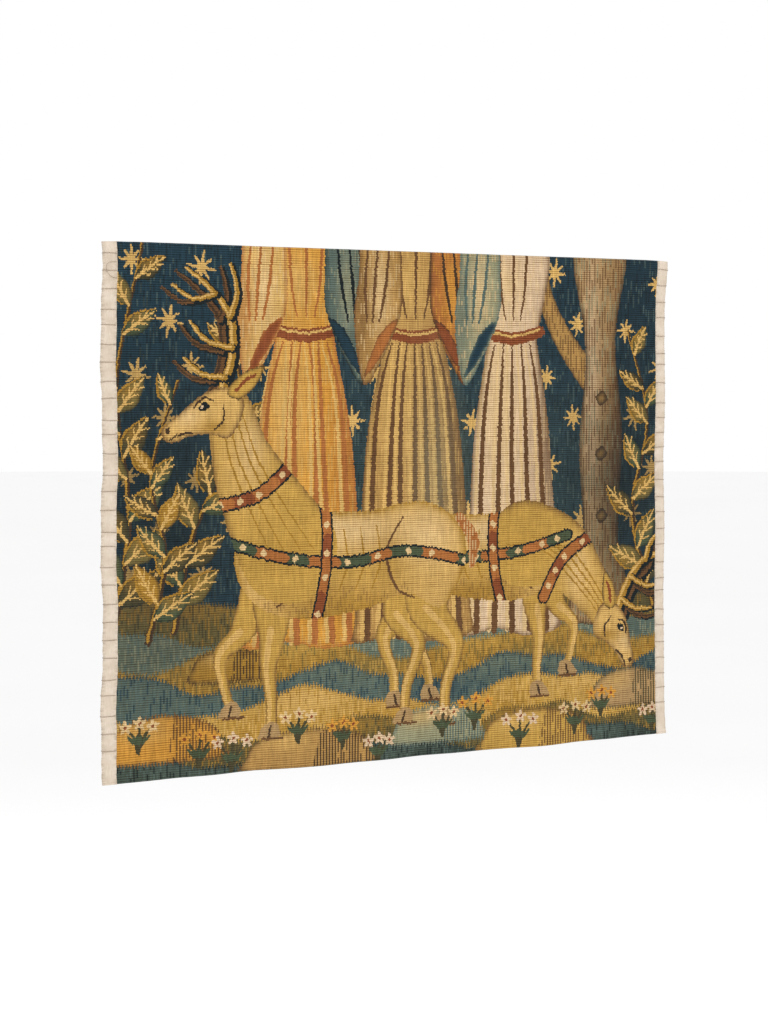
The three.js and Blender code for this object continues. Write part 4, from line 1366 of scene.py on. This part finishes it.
def light_area(name, place, aim, size, power):
    """A large soft lamp at a place, aimed at a point."""
    lamp = bpy.data.lights.new(name, "AREA")
    lamp.shape = "DISK"
    lamp.size = size
    lamp.energy = power
    made = bpy.data.objects.new(name, lamp)
    bpy.context.scene.collection.objects.link(made)
    made.location = place
    way = Vector(aim) - Vector(place)
    made.rotation_euler = way.to_track_quat("-Z", "Y").to_euler()


def set_stage():
    """A pale floor, a white sky, two soft lamps and the camera."""
    scene = bpy.context.scene
    scene.view_settings.view_transform = "Standard"
    bpy.ops.object.select_all(action="DESELECT")
    bpy.ops.mesh.primitive_circle_add(vertices=96, radius=FLOOR_RADIUS, fill_type="NGON",
                                      location=(0, 0, FLOOR_LEVEL))
    floor = bpy.context.object
    floor.name = "pale_floor"
    bpy.ops.object.transform_apply(location=True, rotation=False, scale=False)
    floor.data.materials.append(floor_finish())
    world = bpy.data.worlds.new("white_sky")
    scene.world = world
    world.use_nodes = True
    tree = world.node_tree
    sky = tree.nodes["Background"]
    rays = tree.nodes.new("ShaderNodeLightPath")
    strength = tree.nodes.new("ShaderNodeMapRange")
    strength.inputs[3].default_value = SKY_LIGHT
    strength.inputs[4].default_value = 1.0
    tree.links.new(rays.outputs["Is Camera Ray"], strength.inputs[0])
    tree.links.new(strength.outputs[0], sky.inputs["Strength"])
    sky.inputs["Color"].default_value = (1, 1, 1, 1)
    light_area("key_light", (-1.9, -2.6, 1.9), (0, 0, -0.25), 2.2, 26)
    light_area("fill_light", (2.4, -2.2, 0.6), (0, 0, -0.25), 2.6, 8)
    light_area("back_light", (1.2, 2.6, 1.4), (0, 0, -0.2), 2.0, 14)
    view = bpy.data.cameras.new("camera")
    view.lens = LENS
    view.sensor_width = SENSOR
    view.shift_y = RISE
    camera = bpy.data.objects.new("camera", view)
    scene.collection.objects.link(camera)
    camera.location = CAMERA_PLACE
    camera.rotation_euler = [math.radians(angle) for angle in CAMERA_TURN]
    scene.camera = camera


# ---- The add-on ----


def colour_setting(name, colour):
    """A colour of the panel, given as 0xRRGGBB."""
    return FloatVectorProperty(name=name, description=f"Colour: {name.lower()}", subtype="COLOR", size=4,
                               min=0.0, max=1.0, default=paint(colour))


def length_setting(name, about, default, least, most):
    """A length of the panel, in millimetres."""
    return FloatProperty(name=name, description=about, default=default * MM, min=least * MM, max=most * MM,
                         subtype="DISTANCE", unit="LENGTH", precision=5)


class Colours(bpy.types.PropertyGroup):
    """Colours of every piece but the dyed wools."""

    band: colour_setting("Band Yarn", 0xE4D5C3)
    band_shade: colour_setting("Soiled Band Yarn", 0xD3C3AE)
    thread: colour_setting("Sewing Thread", 0xC0AC96)
    thread_shade: colour_setting("Darker Sewing Thread", 0xA89480)
    lining: colour_setting("Lining Cotton", 0xE2D6BE)
    lining_stain: colour_setting("Stained Lining Cotton", 0xD4C7AB)
    sleeve: colour_setting("Sleeve Cotton", 0xD8CAAE)
    sleeve_stain: colour_setting("Stained Sleeve Cotton", 0xC9B998)
    wood: colour_setting("Softwood", 0xD9B37C)
    wood_rings: colour_setting("Softwood Rings", 0xB07F49)
    brass: colour_setting("Brass", 0xD8B66A)
    tarnish: colour_setting("Tarnished Brass", 0x9C7B45)
    steel: colour_setting("Screw Steel", 0xC9CACB)
    dull_steel: colour_setting("Dull Screw Steel", 0x8F8C86)


class ClothSizes(bpy.types.PropertyGroup):
    """Sizes of the cloth pieces."""

    panel_thickness: length_setting("Tapestry Thickness", "Thickness of the woven picture", 1.4, 0.8, 1.8)
    rib_relief: FloatProperty(
        name="Rib Relief", description="How far the ribs stand out, as a share of the usual height",
        default=1.0, min=0.0, max=2.0, subtype="FACTOR")
    band_thickness: length_setting("Band Thickness", "Thickness of the folded edge bands", 1.2, 0.6, 1.6)
    sleeve_thickness: length_setting("Sleeve Thickness", "Thickness of the rod sleeve", 0.9, 0.5, 1.0)


class StitchSizes(bpy.types.PropertyGroup):
    """Sizes of the sewing."""

    thread_radius: length_setting("Thread Radius", "Radius of the oversewing thread", 0.34, 0.2, 0.4)
    stitch_pitch: length_setting("Stitch Pitch", "Mean height from one stitch to the next", 19.5, 8, 40)


class HardwareSizes(bpy.types.PropertyGroup):
    """Sizes of the bar and its hangers."""

    bar_edge: length_setting("Bar Edge Radius", "Radius of the bar's eased edges", 1.5, 0.5, 3)
    wire_radius: length_setting("Ring Wire Radius", "Radius of the hanger rings' wire", 1.1, 0.8, 1.2)


class MakePanel(bpy.types.Operator):
    """Weave the picture and turn back its hems"""

    bl_idname = "hanging.make_panel"
    bl_label = "Woven Picture"

    def execute(self, context):
        weave_panel(context.scene.cloth_sizes)
        return {"FINISHED"}


class MakeBands(bpy.types.Operator):
    """Fold a cream band over each side edge"""

    bl_idname = "hanging.make_bands"
    bl_label = "Edge Bands"

    def execute(self, context):
        for side in ("left", "right"):
            fold_band(side, context.scene.cloth_sizes, context.scene.colours)
        return {"FINISHED"}


class MakeOversewing(bpy.types.Operator):
    """Oversew both edge bands with thread"""

    bl_idname = "hanging.make_oversewing"
    bl_label = "Oversewing"

    def execute(self, context):
        for side in ("left", "right"):
            oversew_band(side, context.scene.stitch_sizes, context.scene.colours)
        return {"FINISHED"}


class MakeLining(bpy.types.Operator):
    """Line the back with cotton and slip-stitch it down"""

    bl_idname = "hanging.make_lining"
    bl_label = "Lining"

    def execute(self, context):
        make_lining(context.scene.colours)
        return {"FINISHED"}


class MakeSleeve(bpy.types.Operator):
    """Sew the rod sleeve across the lining"""

    bl_idname = "hanging.make_sleeve"
    bl_label = "Rod Sleeve"

    def execute(self, context):
        make_sleeve(context.scene.cloth_sizes, context.scene.colours)
        return {"FINISHED"}


class MakeBar(bpy.types.Operator):
    """Plane the wooden bar"""

    bl_idname = "hanging.make_bar"
    bl_label = "Hanging Bar"

    def execute(self, context):
        make_bar(context.scene.hardware_sizes, context.scene.colours)
        return {"FINISHED"}


class MakeHangers(bpy.types.Operator):
    """Screw a strap and ring to each end of the bar"""

    bl_idname = "hanging.make_hangers"
    bl_label = "Ring Hangers"

    def execute(self, context):
        make_hangers(context.scene.hardware_sizes, context.scene.colours)
        return {"FINISHED"}


class SetStage(bpy.types.Operator):
    """Set the pale floor, the soft light and the camera"""

    bl_idname = "hanging.set_stage"
    bl_label = "Stage"

    def execute(self, context):
        set_stage()
        return {"FINISHED"}


STEPS = (MakePanel, MakeBands, MakeOversewing, MakeLining, MakeSleeve, MakeBar, MakeHangers, SetStage)
SETTINGS = {
    "cloth_sizes": ClothSizes,
    "stitch_sizes": StitchSizes,
    "hardware_sizes": HardwareSizes,
    "colours": Colours,
}


class HangingPanel(bpy.types.Panel):
    """Lists the sizes, the colours and the pieces of the wall hanging"""

    bl_idname = "VIEW3D_PT_wall_hanging"
    bl_label = "Wall Hanging"
    bl_space_type = "VIEW_3D"
    bl_region_type = "UI"
    bl_category = "Hanging"

    def draw(self, context):
        for name in SETTINGS:
            settings = getattr(context.scene, name)
            for field in settings.__annotations__:
                self.layout.prop(settings, field)
        for step in STEPS:
            self.layout.operator(step.bl_idname)


def register():
    for kind in (*SETTINGS.values(), *STEPS, HangingPanel):
        bpy.utils.register_class(kind)
    for name, group in SETTINGS.items():
        setattr(bpy.types.Scene, name, PointerProperty(type=group))


def unregister():
    for name in SETTINGS:
        delattr(bpy.types.Scene, name)
    for kind in reversed((*SETTINGS.values(), *STEPS, HangingPanel)):
        bpy.utils.unregister_class(kind)


def main():
    """Makes every piece in order."""
    register()
    for step in STEPS:
        group, name = step.bl_idname.split(".")
        getattr(getattr(bpy.ops, group), name)()


if __name__ == "__main__":
    main()
